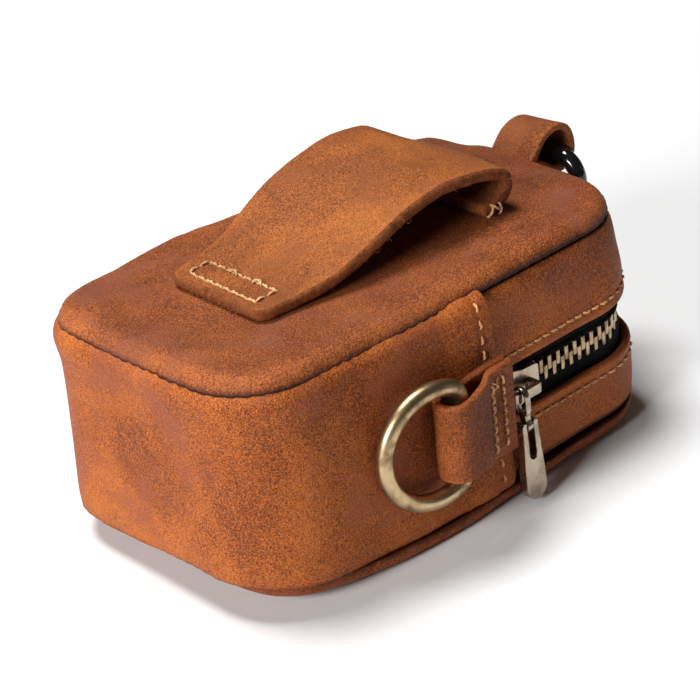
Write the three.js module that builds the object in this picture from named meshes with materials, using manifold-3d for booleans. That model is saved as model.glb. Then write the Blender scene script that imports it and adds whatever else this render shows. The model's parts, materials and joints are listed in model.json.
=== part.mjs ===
// A small leather zip bag: a hard-edged belt pouch that lies on its front panel.
// Millimetres, +Z up. +X points to the open end with the zip, -Y to the wall with the brass D-ring.
import * as THREE from "three";
import { mergeVertices } from "three/addons/utils/BufferGeometryUtils.js";
import Module from "manifold-3d";

const wasm = await Module();
wasm.setup();

// Body
const PANEL_LENGTH = 108; // seam to seam along X
const PANEL_WIDTH = 66; // seam to seam along Y
const CORNER_RADIUS = 14.5;
const FRONT_SEAM_Z = 5.7; // the lower seam, above the surface that the bag lies on
const SEAM_HEIGHT = 43.8; // from the lower seam to the upper one
const WALL_BULGE = 4.4; // how far the walls stand out past the back panel's outline
const BACK_DOME = 3.6; // the back panel's top above the upper seam
const LEATHER = 1.8; // walls and panels
const DOME_INSET = 9.5; // the back panel is flat further in than this
const FRONT_INSET = 11; // the front panel is flat further in than this
const RIM = 0.3; // each panel's rim stands this far in from the seam line
const GAP = 0.3; // between pieces that touch
const WELD = 0.1; // how far pieces of one casting reach into each other
const FOLD_PLAY = 0.75; // between a ring's bar and the leather folded round it

// Overlap of the lower gusset over the zip's ends
const GUSSET_END_X = 8.6;
const GUSSET_SLANT = 2.6; // the overlapping end leans this much over the wall's height
const OVERLAP_LENGTH = 6;
const LIFT_RUN = 9; // the lower gusset rises onto the strips over this length

// Zip
const ZIP_Z = 24.2; // middle of the chain
const ZIP_WINDOW = 10.8; // open height between the two strips
const TAPE_THICK = 0.6;
const TAPE_UNDER = 5; // how far a tape reaches behind its strip
const TOOTH_PITCH = 2.54;
const TOOTH_WIDTH = 0.94;
const TOOTH_THICK = 2.6;
const TOOTH_REACH = 0.75; // past the middle of the chain
const CORD_STEP = 6; // length of each straight piece of a cord
const CHAIN_HALF = 2.6; // from the middle to the outer side of a cord
const CORD_HEIGHT = 1.1;
const CORD_THICK = 1.4;
const CHAIN_START_X = 21.5;

// Slider, link and pull
const SLIDER_X = 9.6; // the slider's nose
const SLIDER_LENGTH = 11;
const SLIDER_MOUTH = 9.6;
const SLIDER_TAIL = 7.4;
const SLIDER_NOSE = 1.4; // length of the bevel at the mouth's corners
const PLATE_THICK = 1.2;
const SLIDER_POST = 2.4;
const POST_HEIGHT = 2;
const POST_INSET = 0.6; // of the post and the crown from the slider's nose
const CROWN_LENGTH = 8;
const CROWN_POST = 1;
const CROWN_BAR_HEIGHT = 2.4;
const CROWN_BAR_THICK = 1.2;
const LINK_THICK = 1.6;
const LINK_WEB = 0.8;
const LINK_LENGTH = 6.4; // pivot to pin
const LINK_PLAY = 1.5; // how much longer than round the link's upper hole is
const LINK_EYE = 0.75; // wall of the link round the pin
const LINK_SWING = 0.18; // angle by which the link leans out, because the pull lies on the gusset's end
const PIN_RADIUS = 0.55;
const PIN_INSET = 0.2; // of each end of the pin in the pull's cheeks
const PULL_TOP_WIDTH = 4.4;
const PULL_WIDTH = 5.8;
const PULL_THICK = 2.2;
const PULL_LEAN = 0.05; // angle by which the pull leans out
const PULL_BELOW_PIN = 16.8;
const PULL_SLOT_DEPTH = 7.6;
const RUNNING = 0.25; // clearance round a pin or beside a moving link

// Near tab and its D-ring
const TAB_THICK = 1.8;
const TAB_Z = 26.2;
const TAB_RIGHT_X = 7.4;
const TAB_BASE_LENGTH = 7.4;
const TAB_BASE_WIDTH = 20.6;
const TAB_FOLD_WIDTH = 17.5;
const RING_BAR_X = -7.4;
const RING_WIRE = 3.7;
const RING_ARC = 12.35; // radius of the wire's middle
const RING_BAR_OFFSET = 7.1; // from the arc's centre to the bar
const RING_CORNER = 2.4; // how much of the bar its round corner takes
const FOLD_SLACK = 1.7; // between the bar and the middle of the fold's turn
const FOLD_RUN = 1.5; // how far the outer layer keeps off the inner one before it lies on it

// End tab and its D-ring
const END_TAB_WIDTH = 14;
const END_TAB_REACH = 8; // from the upper seam to the ring's bar
const END_TAB_THICK = 1.6;
const END_RING_WIRE = 3.8;
const END_RING_WIDTH = 20.4; // middle of wire to middle of wire
const END_RING_HEIGHT = 17;
const END_RING_CORNER = 5;
const END_BAR_LIFT = 0.8; // the bar's middle above the upper seam
const END_TAB_ARCH = 0.9; // the upper layer rises this much before the bar

// Belt loop
const LOOP_THICK = 2.8;
const LOOP_START_X = -33.6;
const LOOP_LENGTH = 68.2; // along X, out to the turned end
const LOOP_RISE = 12.8; // the crest's top above the back panel
const LOOP_END_WIDTH = 29.4;
const LOOP_WIDTH = 35.8;
const LOOP_CORNER = 4;
const LOOP_Y = -1;

// Places that follow from the sizes
const BACK_SEAM_Z = FRONT_SEAM_Z + SEAM_HEIGHT;
const BACK_TOP_Z = BACK_SEAM_Z + BACK_DOME;
const HALF_LENGTH = PANEL_LENGTH / 2;
const HALF_WIDTH = PANEL_WIDTH / 2;
const LAYER_STEP = (LEATHER + GAP) / 2;

const LEATHER_MATERIAL = { color: 0xa85a2e, roughness: 0.62, metalness: 0 };
const LOOP_MATERIAL = { color: 0xb5693a, roughness: 0.66, metalness: 0 };
const BRASS_MATERIAL = { color: 0xa8946a, roughness: 0.34, metalness: 1 };
const BLACK_METAL_MATERIAL = { color: 0x0b0b0c, roughness: 0.16, metalness: 0.6 };
const TAPE_MATERIAL = { color: 0x121212, roughness: 0.9, metalness: 0 };

const bag = new THREE.Group();

function addPiece(name, geometry, look) {
  const mesh = new THREE.Mesh(geometry, new THREE.MeshStandardMaterial(look));
  mesh.name = name;
  bag.add(mesh);
  return mesh;
}

// Closed skins

function signedVolume(position, index) {
  const [a, b, c] = [new THREE.Vector3(), new THREE.Vector3(), new THREE.Vector3()];
  let sum = 0;
  for (let i = 0; i < index.length; i += 3) {
    a.fromBufferAttribute(position, index[i]);
    b.fromBufferAttribute(position, index[i + 1]);
    c.fromBufferAttribute(position, index[i + 2]);
    sum += a.dot(b.cross(c));
  }
  return sum / 6;
}

// A geometry from points and triangles, turned so that its faces point out.
function closedGeometry(points, triangles) {
  const geometry = new THREE.BufferGeometry().setFromPoints(points);
  const index = triangles.flat();
  if (signedVolume(geometry.getAttribute("position"), index) < 0) index.reverse();
  geometry.setIndex(index);
  geometry.computeVertexNormals();
  return geometry;
}

// Joins rings of points, each with as many points, in order, and closes the row with the given caps.
function skin(rings, cap) {
  const count = rings[0].length;
  const points = rings.flat();
  const triangles = [];
  const last = cap === loopRound ? rings.length : rings.length - 1;
  for (let i = 0; i < last; i++) {
    const next = (i + 1) % rings.length;
    for (let j = 0; j < count; j++) {
      const k = (j + 1) % count;
      const [a, b, c, d] = [i * count + j, i * count + k, next * count + k, next * count + j];
      triangles.push([a, b, c], [a, c, d]);
    }
  }
  cap(points, triangles, count, rings.length - 1);
  return closedGeometry(points, triangles);
}

// The last ring joins the first one, so there is nothing to cap.
function loopRound() {}

// Each end is closed across, from one half of its ring to the other.
function capAcross(points, triangles, count, lastRing) {
  const end = lastRing * count;
  for (let j = 0; j < count / 2 - 1; j++) {
    const [a, b, c, d] = [j, j + 1, count - 2 - j, count - 1 - j];
    triangles.push([c, b, a], [d, c, a], [end + a, end + b, end + c], [end + a, end + c, end + d]);
  }
}

// Each end is closed from a point in its middle.
function capFromMiddle(points, triangles, count, lastRing) {
  for (const [start, turn] of [[0, false], [lastRing * count, true]]) {
    const middle = new THREE.Vector3();
    for (let j = 0; j < count; j++) middle.addScaledVector(points[start + j], 1 / count);
    const at = points.push(middle) - 1;
    for (let j = 0; j < count; j++) {
      const [a, b] = [start + j, start + ((j + 1) % count)];
      triangles.push(turn ? [a, b, at] : [b, a, at]);
    }
  }
}

// Joins and cuts

function toSolid(geometry) {
  const bare = geometry.clone();
  bare.deleteAttribute("normal");
  bare.deleteAttribute("uv");
  const merged = mergeVertices(bare, 1e-4);
  const vertProperties = Float32Array.from(merged.getAttribute("position").array);
  const triVerts = Uint32Array.from(merged.index.array);
  return new wasm.Manifold(new wasm.Mesh({ numProp: 3, vertProperties, triVerts }));
}

function toGeometry(solid) {
  const mesh = solid.getMesh();
  const geometry = new THREE.BufferGeometry();
  geometry.setAttribute("position", new THREE.BufferAttribute(mesh.vertProperties, 3));
  geometry.setIndex(new THREE.BufferAttribute(mesh.triVerts, 1));
  geometry.computeVertexNormals();
  return geometry;
}

function join(geometries) {
  return toGeometry(geometries.map(toSolid).reduce((sum, piece) => sum.add(piece)));
}

function box(x0, x1, y0, y1, z0, z1) {
  const geometry = new THREE.BoxGeometry(x1 - x0, y1 - y0, z1 - z0);
  return geometry.translate((x0 + x1) / 2, (y0 + y1) / 2, (z0 + z1) / 2);
}

// The bag's outline, and what is swept along it

// A place on the outline with its outward direction. Side +1 runs round the open end, -1 round the closed end.
function place(x, y, nx, ny, side) {
  return { x: side * x, y, nx: side * nx, ny, along: 0 };
}

// Places from startX on the near wall round one end to startX on the far wall.
function placesRound(startX, side) {
  const straight = 4;
  const turn = 7;
  const endSteps = 4;
  const cornerX = HALF_LENGTH - CORNER_RADIUS;
  const cornerY = HALF_WIDTH - CORNER_RADIUS;
  const near = [];
  for (let i = 0; i < straight; i++) {
    near.push(place(THREE.MathUtils.lerp(startX, cornerX, i / straight), -HALF_WIDTH, 0, -1, side));
  }
  for (let i = 0; i <= turn; i++) {
    const angle = ((i / turn - 1) * Math.PI) / 2;
    const [nx, ny] = [Math.cos(angle), Math.sin(angle)];
    near.push(place(cornerX + CORNER_RADIUS * nx, -cornerY + CORNER_RADIUS * ny, nx, ny, side));
  }
  for (let i = 1; i < endSteps / 2; i++) {
    near.push(place(HALF_LENGTH, THREE.MathUtils.lerp(-cornerY, cornerY, i / endSteps), 1, 0, side));
  }
  const far = near.map((p) => ({ ...p, y: -p.y, ny: -p.ny })).reverse();
  const places = [...near, place(HALF_LENGTH, 0, 1, 0, side), ...far];
  for (let i = 1; i < places.length; i++) {
    const step = Math.hypot(places[i].x - places[i - 1].x, places[i].y - places[i - 1].y);
    places[i].along = places[i - 1].along + step;
  }
  return places;
}

// Places all the way round.
function placesAllRound() {
  const open = placesRound(0, 1);
  const closed = placesRound(0, -1).reverse().slice(1, -1);
  return [...open, ...closed];
}

// How far the wall stands out at each height: pairs of share of WALL_BULGE and share of the seam height.
const WALL_PROFILE = [
  [0.0, 1.0],
  [0.34, 0.985],
  [0.6, 0.94],
  [0.7, 0.88],
  [0.7, 0.76],
  [0.76, 0.58],
  [0.88, 0.36],
  [0.98, 0.18],
  [1.02, 0.09],
  [0.98, 0.03],
  [0.9, 0.0],
];
const WALL_CURVE = new THREE.SplineCurve(
  WALL_PROFILE.map(([out, up]) => new THREE.Vector2(out * WALL_BULGE, FRONT_SEAM_Z + up * SEAM_HEIGHT)),
);

// Points of the wall's outer line from height z1 down to z0, each with the line's outward normal.
function wallLine(z1, z0, steps) {
  const fine = WALL_CURVE.getPoints(120);
  const pick = (z) => {
    const i = fine.findIndex((p, n) => n > 0 && p.y <= z);
    const [a, b] = i > 0 ? [fine[i - 1], fine[i]] : [fine[fine.length - 2], fine[fine.length - 1]];
    const share = THREE.MathUtils.clamp((a.y - z) / (a.y - b.y), 0, 1);
    const normal = new THREE.Vector2(a.y - b.y, b.x - a.x).normalize();
    return { out: a.x + (b.x - a.x) * share, z, normal };
  };
  // Heights lie closer together towards the seams, where the line curves most.
  return Array.from({ length: steps + 1 }, (_, i) => {
    const ease = (1 - Math.cos((Math.PI * i) / steps)) / 2;
    return pick(THREE.MathUtils.lerp(z1, z0, ease));
  });
}

const wallOut = (z) => wallLine(z, z, 1)[0].out;

// A layer's thickness, taken level, is at least this share of its full one where the wall turns in.
const LEVEL_SHARE = 0.75;

// A closed section of the wall: its outer side lies depth inside the wall's outer line, its inner side
// one leather further in. Both sides reach from the line's first height to its last.
function layerSection(line, depth) {
  const [z1, z0] = [line[0].z, line[line.length - 1].z];
  const side = (d) =>
    line.map((p, i) => {
      const free = THREE.MathUtils.clamp(p.z - p.normal.y * d, z0, z1);
      const isEnd = i === 0 || i === line.length - 1;
      return new THREE.Vector2(p.out - Math.max(p.normal.x, LEVEL_SHARE) * d, isEnd ? p.z : free);
    });
  return [...side(depth), ...side(depth + LEATHER).reverse()];
}

// Sweeps a section of points (out, up) along places. lean moves its points along the outline.
function sweepAlong(places, sectionAt, lean = () => 0) {
  const rings = places.map((p) =>
    sectionAt(p).map((v) => {
      const slide = lean(p, v.y);
      return new THREE.Vector3(p.x + p.nx * v.x + slide, p.y + p.ny * v.x, v.y);
    }),
  );
  return skin(rings, capAcross);
}

// Leather body

function lowerGusset() {
  const line = wallLine(BACK_SEAM_Z, FRONT_SEAM_Z, 10);
  const round = placesRound(-GUSSET_END_X, -1);
  const length = round[round.length - 1].along;
  // Extra places where the ends rise onto the strips.
  const riseLength = OVERLAP_LENGTH + LIFT_RUN;
  const nearEnd = [0.3, 0.6, 0.85].map((share) => {
    const along = share * riseLength;
    return { x: GUSSET_END_X - along, y: -HALF_WIDTH, nx: 0, ny: -1, along };
  });
  const farEnd = nearEnd.map((p) => ({ ...p, y: HALF_WIDTH, ny: 1, along: length - p.along }));
  const places = [...round, ...nearEnd, ...farEnd].sort((a, b) => a.along - b.along);
  const fromEnd = (p) => Math.min(p.along, length - p.along);
  const section = (p) => {
    const share = (fromEnd(p) - OVERLAP_LENGTH) / LIFT_RUN;
    return layerSection(line, -LAYER_STEP * (1 - THREE.MathUtils.smoothstep(share, 0, 1)));
  };
  const middle = (BACK_SEAM_Z + FRONT_SEAM_Z) / 2;
  const lean = (p, z) => {
    const weight = Math.max(0, 1 - fromEnd(p) / riseLength);
    return (weight * GUSSET_SLANT * (middle - z)) / SEAM_HEIGHT;
  };
  return sweepAlong(places, section, lean);
}

const STRIP_START_X = GUSSET_END_X - OVERLAP_LENGTH;

function zipGusset(z1, z0) {
  const section = layerSection(wallLine(z1, z0, 6), LAYER_STEP);
  return sweepAlong(placesRound(STRIP_START_X, 1), () => section);
}

// A panel from rings of the outline: pairs of distance in from the seam line and height.
function panel(outerLine, innerLine, grow) {
  const places = placesAllRound();
  const ringAt = ([inset, z]) =>
    places.map((p) => new THREE.Vector3(p.x + p.nx * (grow - inset), p.y + p.ny * (grow - inset), z));
  const rings = [...outerLine, ...innerLine.slice().reverse()].map(ringAt);
  return skin(rings, capFromMiddle);
}

// From the middle out over the top to the rim, then back underneath.
function backPanel() {
  const rim = BACK_SEAM_Z + GAP;
  const top = [
    [1, 1],
    [0.63, 0.95],
    [0.34, 0.74],
    [0.13, 0.4],
    [0, 0],
  ].map(([inset, up]) => [RIM + inset * (DOME_INSET - RIM), rim + up * (BACK_TOP_Z - rim)]);
  const under = [
    [DOME_INSET, BACK_TOP_Z - LEATHER],
    [0.42 * DOME_INSET, rim + 0.35 * LEATHER],
    [RIM + LEATHER, rim],
  ];
  return panel(top, under, 0);
}

function frontPanel() {
  const rim = FRONT_SEAM_Z - GAP;
  const bottom = [
    [1, 0],
    [0.66, 0.04],
    [0.35, 0.24],
    [0.11, 0.58],
    [0, 1],
  ].map(([inset, up]) => [RIM + inset * (FRONT_INSET - RIM), up * rim]);
  const inside = [
    [FRONT_INSET, LEATHER],
    [0.55 * FRONT_INSET, 0.52 * rim],
    [RIM + LEATHER, rim],
  ];
  return panel(bottom, inside, WALL_BULGE * WALL_PROFILE[WALL_PROFILE.length - 1][0]);
}

addPiece("back_panel", backPanel(), LEATHER_MATERIAL);
addPiece("front_panel", frontPanel(), LEATHER_MATERIAL);
addPiece("lower_gusset", lowerGusset(), LEATHER_MATERIAL);
addPiece("zip_gusset_back", zipGusset(BACK_SEAM_Z, ZIP_Z + ZIP_WINDOW / 2), LEATHER_MATERIAL);
addPiece("zip_gusset_front", zipGusset(ZIP_Z - ZIP_WINDOW / 2, FRONT_SEAM_Z), LEATHER_MATERIAL);

// Zip

// The tapes lie in one leaning plane, as far out as both strips leave room for.
const TAPE_HALF = ZIP_WINDOW / 2 + TAPE_UNDER;
const TAPE_LEAN = (wallOut(ZIP_Z + TAPE_HALF) - wallOut(ZIP_Z - TAPE_HALF)) / (2 * TAPE_HALF);
const TAPE_ROOM = [-1, -0.8, -0.6, -0.4, -0.2, 0, 0.2, 0.4, 0.6, 0.8, 1].map(
  (share) => wallOut(ZIP_Z + share * TAPE_HALF) - TAPE_LEAN * share * TAPE_HALF,
);
const TAPE_OUT = Math.min(...TAPE_ROOM) - LAYER_STEP - LEATHER - GAP;
const CHAIN_OUT = TAPE_OUT - TAPE_THICK / 2;

function rectangle(out0, out1, z0, z1) {
  return [
    new THREE.Vector2(out0, z0),
    new THREE.Vector2(out1, z0),
    new THREE.Vector2(out1, z1),
    new THREE.Vector2(out0, z1),
  ];
}

function zipTape(side) {
  const section = [
    [-TAPE_THICK, CHAIN_HALF + GAP],
    [0, CHAIN_HALF + GAP],
    [0, TAPE_HALF],
    [-TAPE_THICK, TAPE_HALF],
  ].map(([out, up]) => new THREE.Vector2(TAPE_OUT + out + TAPE_LEAN * side * up, ZIP_Z + side * up));
  return sweepAlong(placesRound(STRIP_START_X, 1), () => section);
}

// A place on the chain's middle line, a given length along it from its start on the near wall.
function chainPlace(length) {
  const straight = HALF_LENGTH - CORNER_RADIUS - CHAIN_START_X;
  const radius = CORNER_RADIUS + CHAIN_OUT;
  const arc = (radius * Math.PI) / 2;
  const across = PANEL_WIDTH - 2 * CORNER_RADIUS;
  const cornerX = HALF_LENGTH - CORNER_RADIUS;
  const cornerY = HALF_WIDTH - CORNER_RADIUS;
  if (length < straight) return [CHAIN_START_X + length, -cornerY - radius, -Math.PI / 2];
  if (length < straight + arc) {
    const angle = (length - straight) / radius - Math.PI / 2;
    return [cornerX + radius * Math.cos(angle), -cornerY + radius * Math.sin(angle), angle];
  }
  if (length < straight + arc + across) return [cornerX + radius, -cornerY + length - straight - arc, 0];
  if (length < straight + 2 * arc + across) {
    const angle = (length - straight - arc - across) / radius;
    return [cornerX + radius * Math.cos(angle), cornerY + radius * Math.sin(angle), angle];
  }
  return [cornerX - (length - straight - 2 * arc - across), cornerY + radius, Math.PI / 2];
}

const CHAIN_LENGTH =
  2 * (HALF_LENGTH - CORNER_RADIUS) -
  CHAIN_START_X -
  GUSSET_END_X +
  (CORNER_RADIUS + CHAIN_OUT) * Math.PI +
  PANEL_WIDTH -
  2 * CORNER_RADIUS;

// One row of teeth on its cord. The rows differ by half a pitch and reach between each other.
function zipChain(side) {
  const cordInner = ZIP_Z + side * (CHAIN_HALF - CORD_HEIGHT);
  const cordOuter = ZIP_Z + side * CHAIN_HALF;
  const section = rectangle(
    -CORD_THICK / 2,
    CORD_THICK / 2,
    Math.min(cordInner, cordOuter),
    Math.max(cordInner, cordOuter),
  );
  const steps = Math.round(CHAIN_LENGTH / CORD_STEP);
  const places = Array.from({ length: steps + 1 }, (_, i) => {
    const [x, y, angle] = chainPlace((CHAIN_LENGTH * i) / steps);
    return { x, y, nx: Math.cos(angle), ny: Math.sin(angle) };
  });
  const cord = sweepAlong(places, () => section);
  const first = (TOOTH_PITCH * (side > 0 ? 1 : 2)) / 2;
  const count = Math.floor((CHAIN_LENGTH - first - TOOTH_PITCH / 2) / TOOTH_PITCH) + 1;
  const height = CHAIN_HALF + TOOTH_REACH - CORD_HEIGHT / 2;
  const middle = ZIP_Z + (side * (CHAIN_HALF - CORD_HEIGHT / 2 - TOOTH_REACH)) / 2;
  const teeth = Array.from({ length: count }, (_, i) => {
    const [x, y, angle] = chainPlace(first + i * TOOTH_PITCH);
    const tooth = new THREE.BoxGeometry(TOOTH_THICK, TOOTH_WIDTH, height);
    return tooth.rotateZ(angle).translate(x, y, middle);
  });
  return join([cord, ...teeth]);
}

addPiece("zip_tape_back", zipTape(1), TAPE_MATERIAL);
addPiece("zip_tape_front", zipTape(-1), TAPE_MATERIAL);
addPiece("zip_chain_back", zipChain(1), BRASS_MATERIAL);
addPiece("zip_chain_front", zipChain(-1), BRASS_MATERIAL);

// Slider. Depths are distances from the bag's middle plane, towards -Y.
const CHAIN_DEPTH = HALF_WIDTH + CHAIN_OUT;
const PLATE_INNER = CHAIN_DEPTH + TOOTH_THICK / 2 + GAP;
const PLATE_OUTER = PLATE_INNER + PLATE_THICK;
const LINK_HOLE = Math.hypot(CROWN_BAR_HEIGHT, CROWN_BAR_THICK) / 2 + RUNNING;
const BAR_DEPTH = PLATE_OUTER + RUNNING + LINK_WEB + LINK_HOLE;
const CROWN_TOP = BAR_DEPTH + CROWN_BAR_THICK / 2;
const CROWN_X = SLIDER_X + POST_INSET;
const LINK_X = CROWN_X + CROWN_POST + RUNNING + LINK_THICK / 2;

// An outline in X and Z, extruded along Y between two depths.
function upright(outline, depth0, depth1) {
  const shape = new THREE.Shape(outline);
  const geometry = new THREE.ExtrudeGeometry(shape, { depth: depth1 - depth0, bevelEnabled: false });
  // Z of the extrusion becomes -Y of the bag, and Y of the outline becomes Z.
  return geometry.rotateX(Math.PI / 2).translate(0, -depth0, 0);
}

function zipSlider() {
  const tailX = SLIDER_X + SLIDER_LENGTH;
  const shoulderX = SLIDER_X + 0.45 * SLIDER_LENGTH;
  const outline = [
    [SLIDER_X, -0.42 * SLIDER_MOUTH],
    [SLIDER_X + SLIDER_NOSE, -SLIDER_MOUTH / 2],
    [shoulderX, -SLIDER_TAIL / 2],
    [tailX, -SLIDER_TAIL / 2],
  ];
  const points = [...outline, ...outline.map(([x, z]) => [x, -z]).reverse()];
  const plate = points.map(([x, z]) => new THREE.Vector2(x, ZIP_Z + z));
  const backDepth = 2 * CHAIN_DEPTH - PLATE_OUTER;
  const barZ = [ZIP_Z - CROWN_BAR_HEIGHT / 2, ZIP_Z + CROWN_BAR_HEIGHT / 2];
  const crownEnd = CROWN_X + CROWN_LENGTH;
  const postX = SLIDER_X + POST_INSET;
  const postZ = [ZIP_Z - POST_HEIGHT / 2, ZIP_Z + POST_HEIGHT / 2];
  return join([
    upright(plate, PLATE_INNER, PLATE_OUTER),
    upright(plate, backDepth, backDepth + PLATE_THICK),
    box(postX, postX + SLIDER_POST, -PLATE_INNER - WELD, -backDepth - PLATE_THICK + WELD, ...postZ),
    box(CROWN_X, CROWN_X + CROWN_POST, -CROWN_TOP, -PLATE_OUTER + WELD, ...barZ),
    box(crownEnd - CROWN_POST, crownEnd, -CROWN_TOP, -PLATE_OUTER + WELD, ...barZ),
    box(CROWN_X, crownEnd, -CROWN_TOP, -CROWN_TOP + CROWN_BAR_THICK, ...barZ),
  ]);
}

// The link is a flat tapered plate round the bar, in the plane across X.
function pullLink() {
  const bigRadius = LINK_HOLE + LINK_WEB;
  const smallRadius = PIN_RADIUS + RUNNING + LINK_EYE;
  const lean = Math.asin((bigRadius - smallRadius) / LINK_LENGTH);
  const shape = new THREE.Shape();
  shape.absarc(0, 0, bigRadius, -lean, Math.PI + lean, false);
  shape.absarc(0, -LINK_LENGTH, smallRadius, Math.PI + lean, 2 * Math.PI - lean, false);
  const upper = new THREE.Path();
  upper.absarc(0, 0, LINK_HOLE, 0, Math.PI, false);
  upper.absarc(0, -LINK_PLAY, LINK_HOLE, Math.PI, 2 * Math.PI, false);
  const lower = new THREE.Path();
  lower.absarc(0, -LINK_LENGTH, PIN_RADIUS + RUNNING, 0, 2 * Math.PI, false);
  shape.holes = [upper, lower];
  const plate = new THREE.ExtrudeGeometry(shape, { depth: LINK_THICK, bevelEnabled: false, curveSegments: 10 });
  plate.rotateX(Math.PI / 2).rotateZ(Math.PI / 2).translate(-LINK_THICK / 2, 0, 0);
  return plate.rotateX(-LINK_SWING).translate(LINK_X, -BAR_DEPTH, ZIP_Z);
}

const PIN_Y = -BAR_DEPTH - LINK_LENGTH * Math.sin(LINK_SWING);
const PIN_Z = ZIP_Z - LINK_LENGTH * Math.cos(LINK_SWING);

// The pull is drawn hanging from its pin at the origin.
function zipPull() {
  const half = PULL_TOP_WIDTH / 2;
  const slot = LINK_THICK / 2 + RUNNING;
  const roundZ = PULL_WIDTH / 2 - PULL_BELOW_PIN;
  const topZ = PULL_THICK / 2;
  const slotZ = slot - PULL_SLOT_DEPTH;
  const shape = new THREE.Shape();
  shape.moveTo(slot, topZ);
  shape.lineTo(slot, slotZ);
  shape.absarc(0, slotZ, slot, 0, -Math.PI, true);
  shape.lineTo(-slot, topZ);
  shape.lineTo(-half, topZ);
  shape.lineTo(-half, 0);
  shape.absarc(0, roundZ, PULL_WIDTH / 2, Math.PI, 2 * Math.PI, false);
  shape.lineTo(half, 0);
  shape.lineTo(half, topZ);
  shape.closePath();
  const plate = new THREE.ExtrudeGeometry(shape, { depth: PULL_THICK, bevelEnabled: false, curveSegments: 8 });
  plate.rotateX(Math.PI / 2).translate(0, PULL_THICK / 2, 0);
  const pin = new THREE.CylinderGeometry(PIN_RADIUS, PIN_RADIUS, PULL_TOP_WIDTH - 2 * PIN_INSET, 12);
  pin.rotateZ(Math.PI / 2);
  return join([plate, pin]).rotateX(-PULL_LEAN).translate(LINK_X, PIN_Y, PIN_Z);
}

addPiece("zip_slider", zipSlider(), BRASS_MATERIAL);
addPiece("pull_link", pullLink(), BRASS_MATERIAL);
addPiece("zip_pull", zipPull(), BRASS_MATERIAL);

// Straps and rings

// A strap of even thickness along a curve through points in one plane. width gives its width at a share of
// the length, and toSpace places a point from (first, second, across).
function strap(points, steps, thick, width, toSpace) {
  const curve = new THREE.CatmullRomCurve3(points.map((p) => new THREE.Vector3(p.x, p.y, 0)));
  const length = curve.getLength();
  const rings = [];
  for (let i = 0; i <= steps; i++) {
    const share = i / steps;
    const middle = curve.getPointAt(share);
    const tangent = curve.getTangentAt(share);
    const normal = new THREE.Vector3(-tangent.y, tangent.x, 0);
    const half = width(share, length) / 2;
    const [up, down] = [1, -1].map((s) => middle.clone().addScaledVector(normal, (s * thick) / 2));
    rings.push([toSpace(up, -half), toSpace(up, half), toSpace(down, half), toSpace(down, -half)]);
  }
  return skin(rings, capAcross);
}

// Points on part of a circle.
function turnPoints(cx, cy, radius, from, to, steps) {
  return Array.from({ length: steps + 1 }, (_, i) => {
    const angle = THREE.MathUtils.lerp(from, to, i / steps);
    return new THREE.Vector2(cx + radius * Math.cos(angle), cy + radius * Math.sin(angle));
  });
}

// A closed ring of round wire along points in the XY plane.
function wireRing(points, wire) {
  const sides = 10;
  const rings = points.map((p, i) => {
    const before = points[(i + points.length - 1) % points.length];
    const after = points[(i + 1) % points.length];
    const a = p.clone().sub(before).normalize();
    const b = after.clone().sub(p).normalize();
    const miter = new THREE.Vector2(a.y + b.y, -a.x - b.x).normalize();
    const stretch = 1 / Math.max(0.5, miter.dot(new THREE.Vector2(b.y, -b.x)));
    return Array.from({ length: sides }, (_, k) => {
      const angle = (2 * Math.PI * (k + 0.5)) / sides;
      const side = (Math.cos(angle) * wire * stretch) / 2;
      return new THREE.Vector3(p.x + miter.x * side, p.y + miter.y * side, (Math.sin(angle) * wire) / 2);
    });
  });
  return skin(rings, loopRound);
}

// Near tab: folded round the ring's bar, both layers sewn to the wall. Depth grows towards -Y.
const WALL_DEPTH = HALF_WIDTH + wallOut(TAB_Z - TAB_BASE_WIDTH / 2);
const GUSSET_END_DEPTH = WALL_DEPTH + LAYER_STEP;
const TAB_TURN = RING_WIRE / 2 + FOLD_PLAY + TAB_THICK / 2;
const TAB_BASE_DEPTH = GUSSET_END_DEPTH + GAP + TAB_THICK / 2;
const TAB_FOLD_DEPTH = WALL_DEPTH + GAP + TAB_THICK / 2;
const BAR_RING_DEPTH = TAB_FOLD_DEPTH + TAB_TURN;

function tabNear() {
  const baseLeft = TAB_RIGHT_X - TAB_BASE_LENGTH;
  const outerDepth = TAB_BASE_DEPTH + TAB_THICK + GAP;
  const points = [
    new THREE.Vector2(TAB_RIGHT_X, TAB_BASE_DEPTH),
    new THREE.Vector2((TAB_RIGHT_X + baseLeft) / 2, TAB_BASE_DEPTH),
    new THREE.Vector2(baseLeft, TAB_BASE_DEPTH),
    ...turnPoints(RING_BAR_X - FOLD_SLACK, BAR_RING_DEPTH, TAB_TURN, -Math.PI / 2, (-3 * Math.PI) / 2 + 0.35, 8),
    new THREE.Vector2(baseLeft - FOLD_RUN, outerDepth + 0.45 * RING_WIRE),
    new THREE.Vector2(baseLeft + FOLD_RUN, outerDepth),
    new THREE.Vector2((TAB_RIGHT_X + baseLeft) / 2 + FOLD_RUN / 2, outerDepth),
    new THREE.Vector2(TAB_RIGHT_X, outerDepth),
  ];
  const width = (share) => {
    const fromEnd = Math.abs(2 * share - 1);
    const end = THREE.MathUtils.smoothstep(fromEnd, 0.3, 0.8);
    return THREE.MathUtils.lerp(TAB_FOLD_WIDTH, TAB_BASE_WIDTH, end);
  };
  const toSpace = (p, across) => new THREE.Vector3(p.x, -p.y, TAB_Z + across);
  return strap(points, 44, TAB_THICK, width, toSpace);
}

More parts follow.
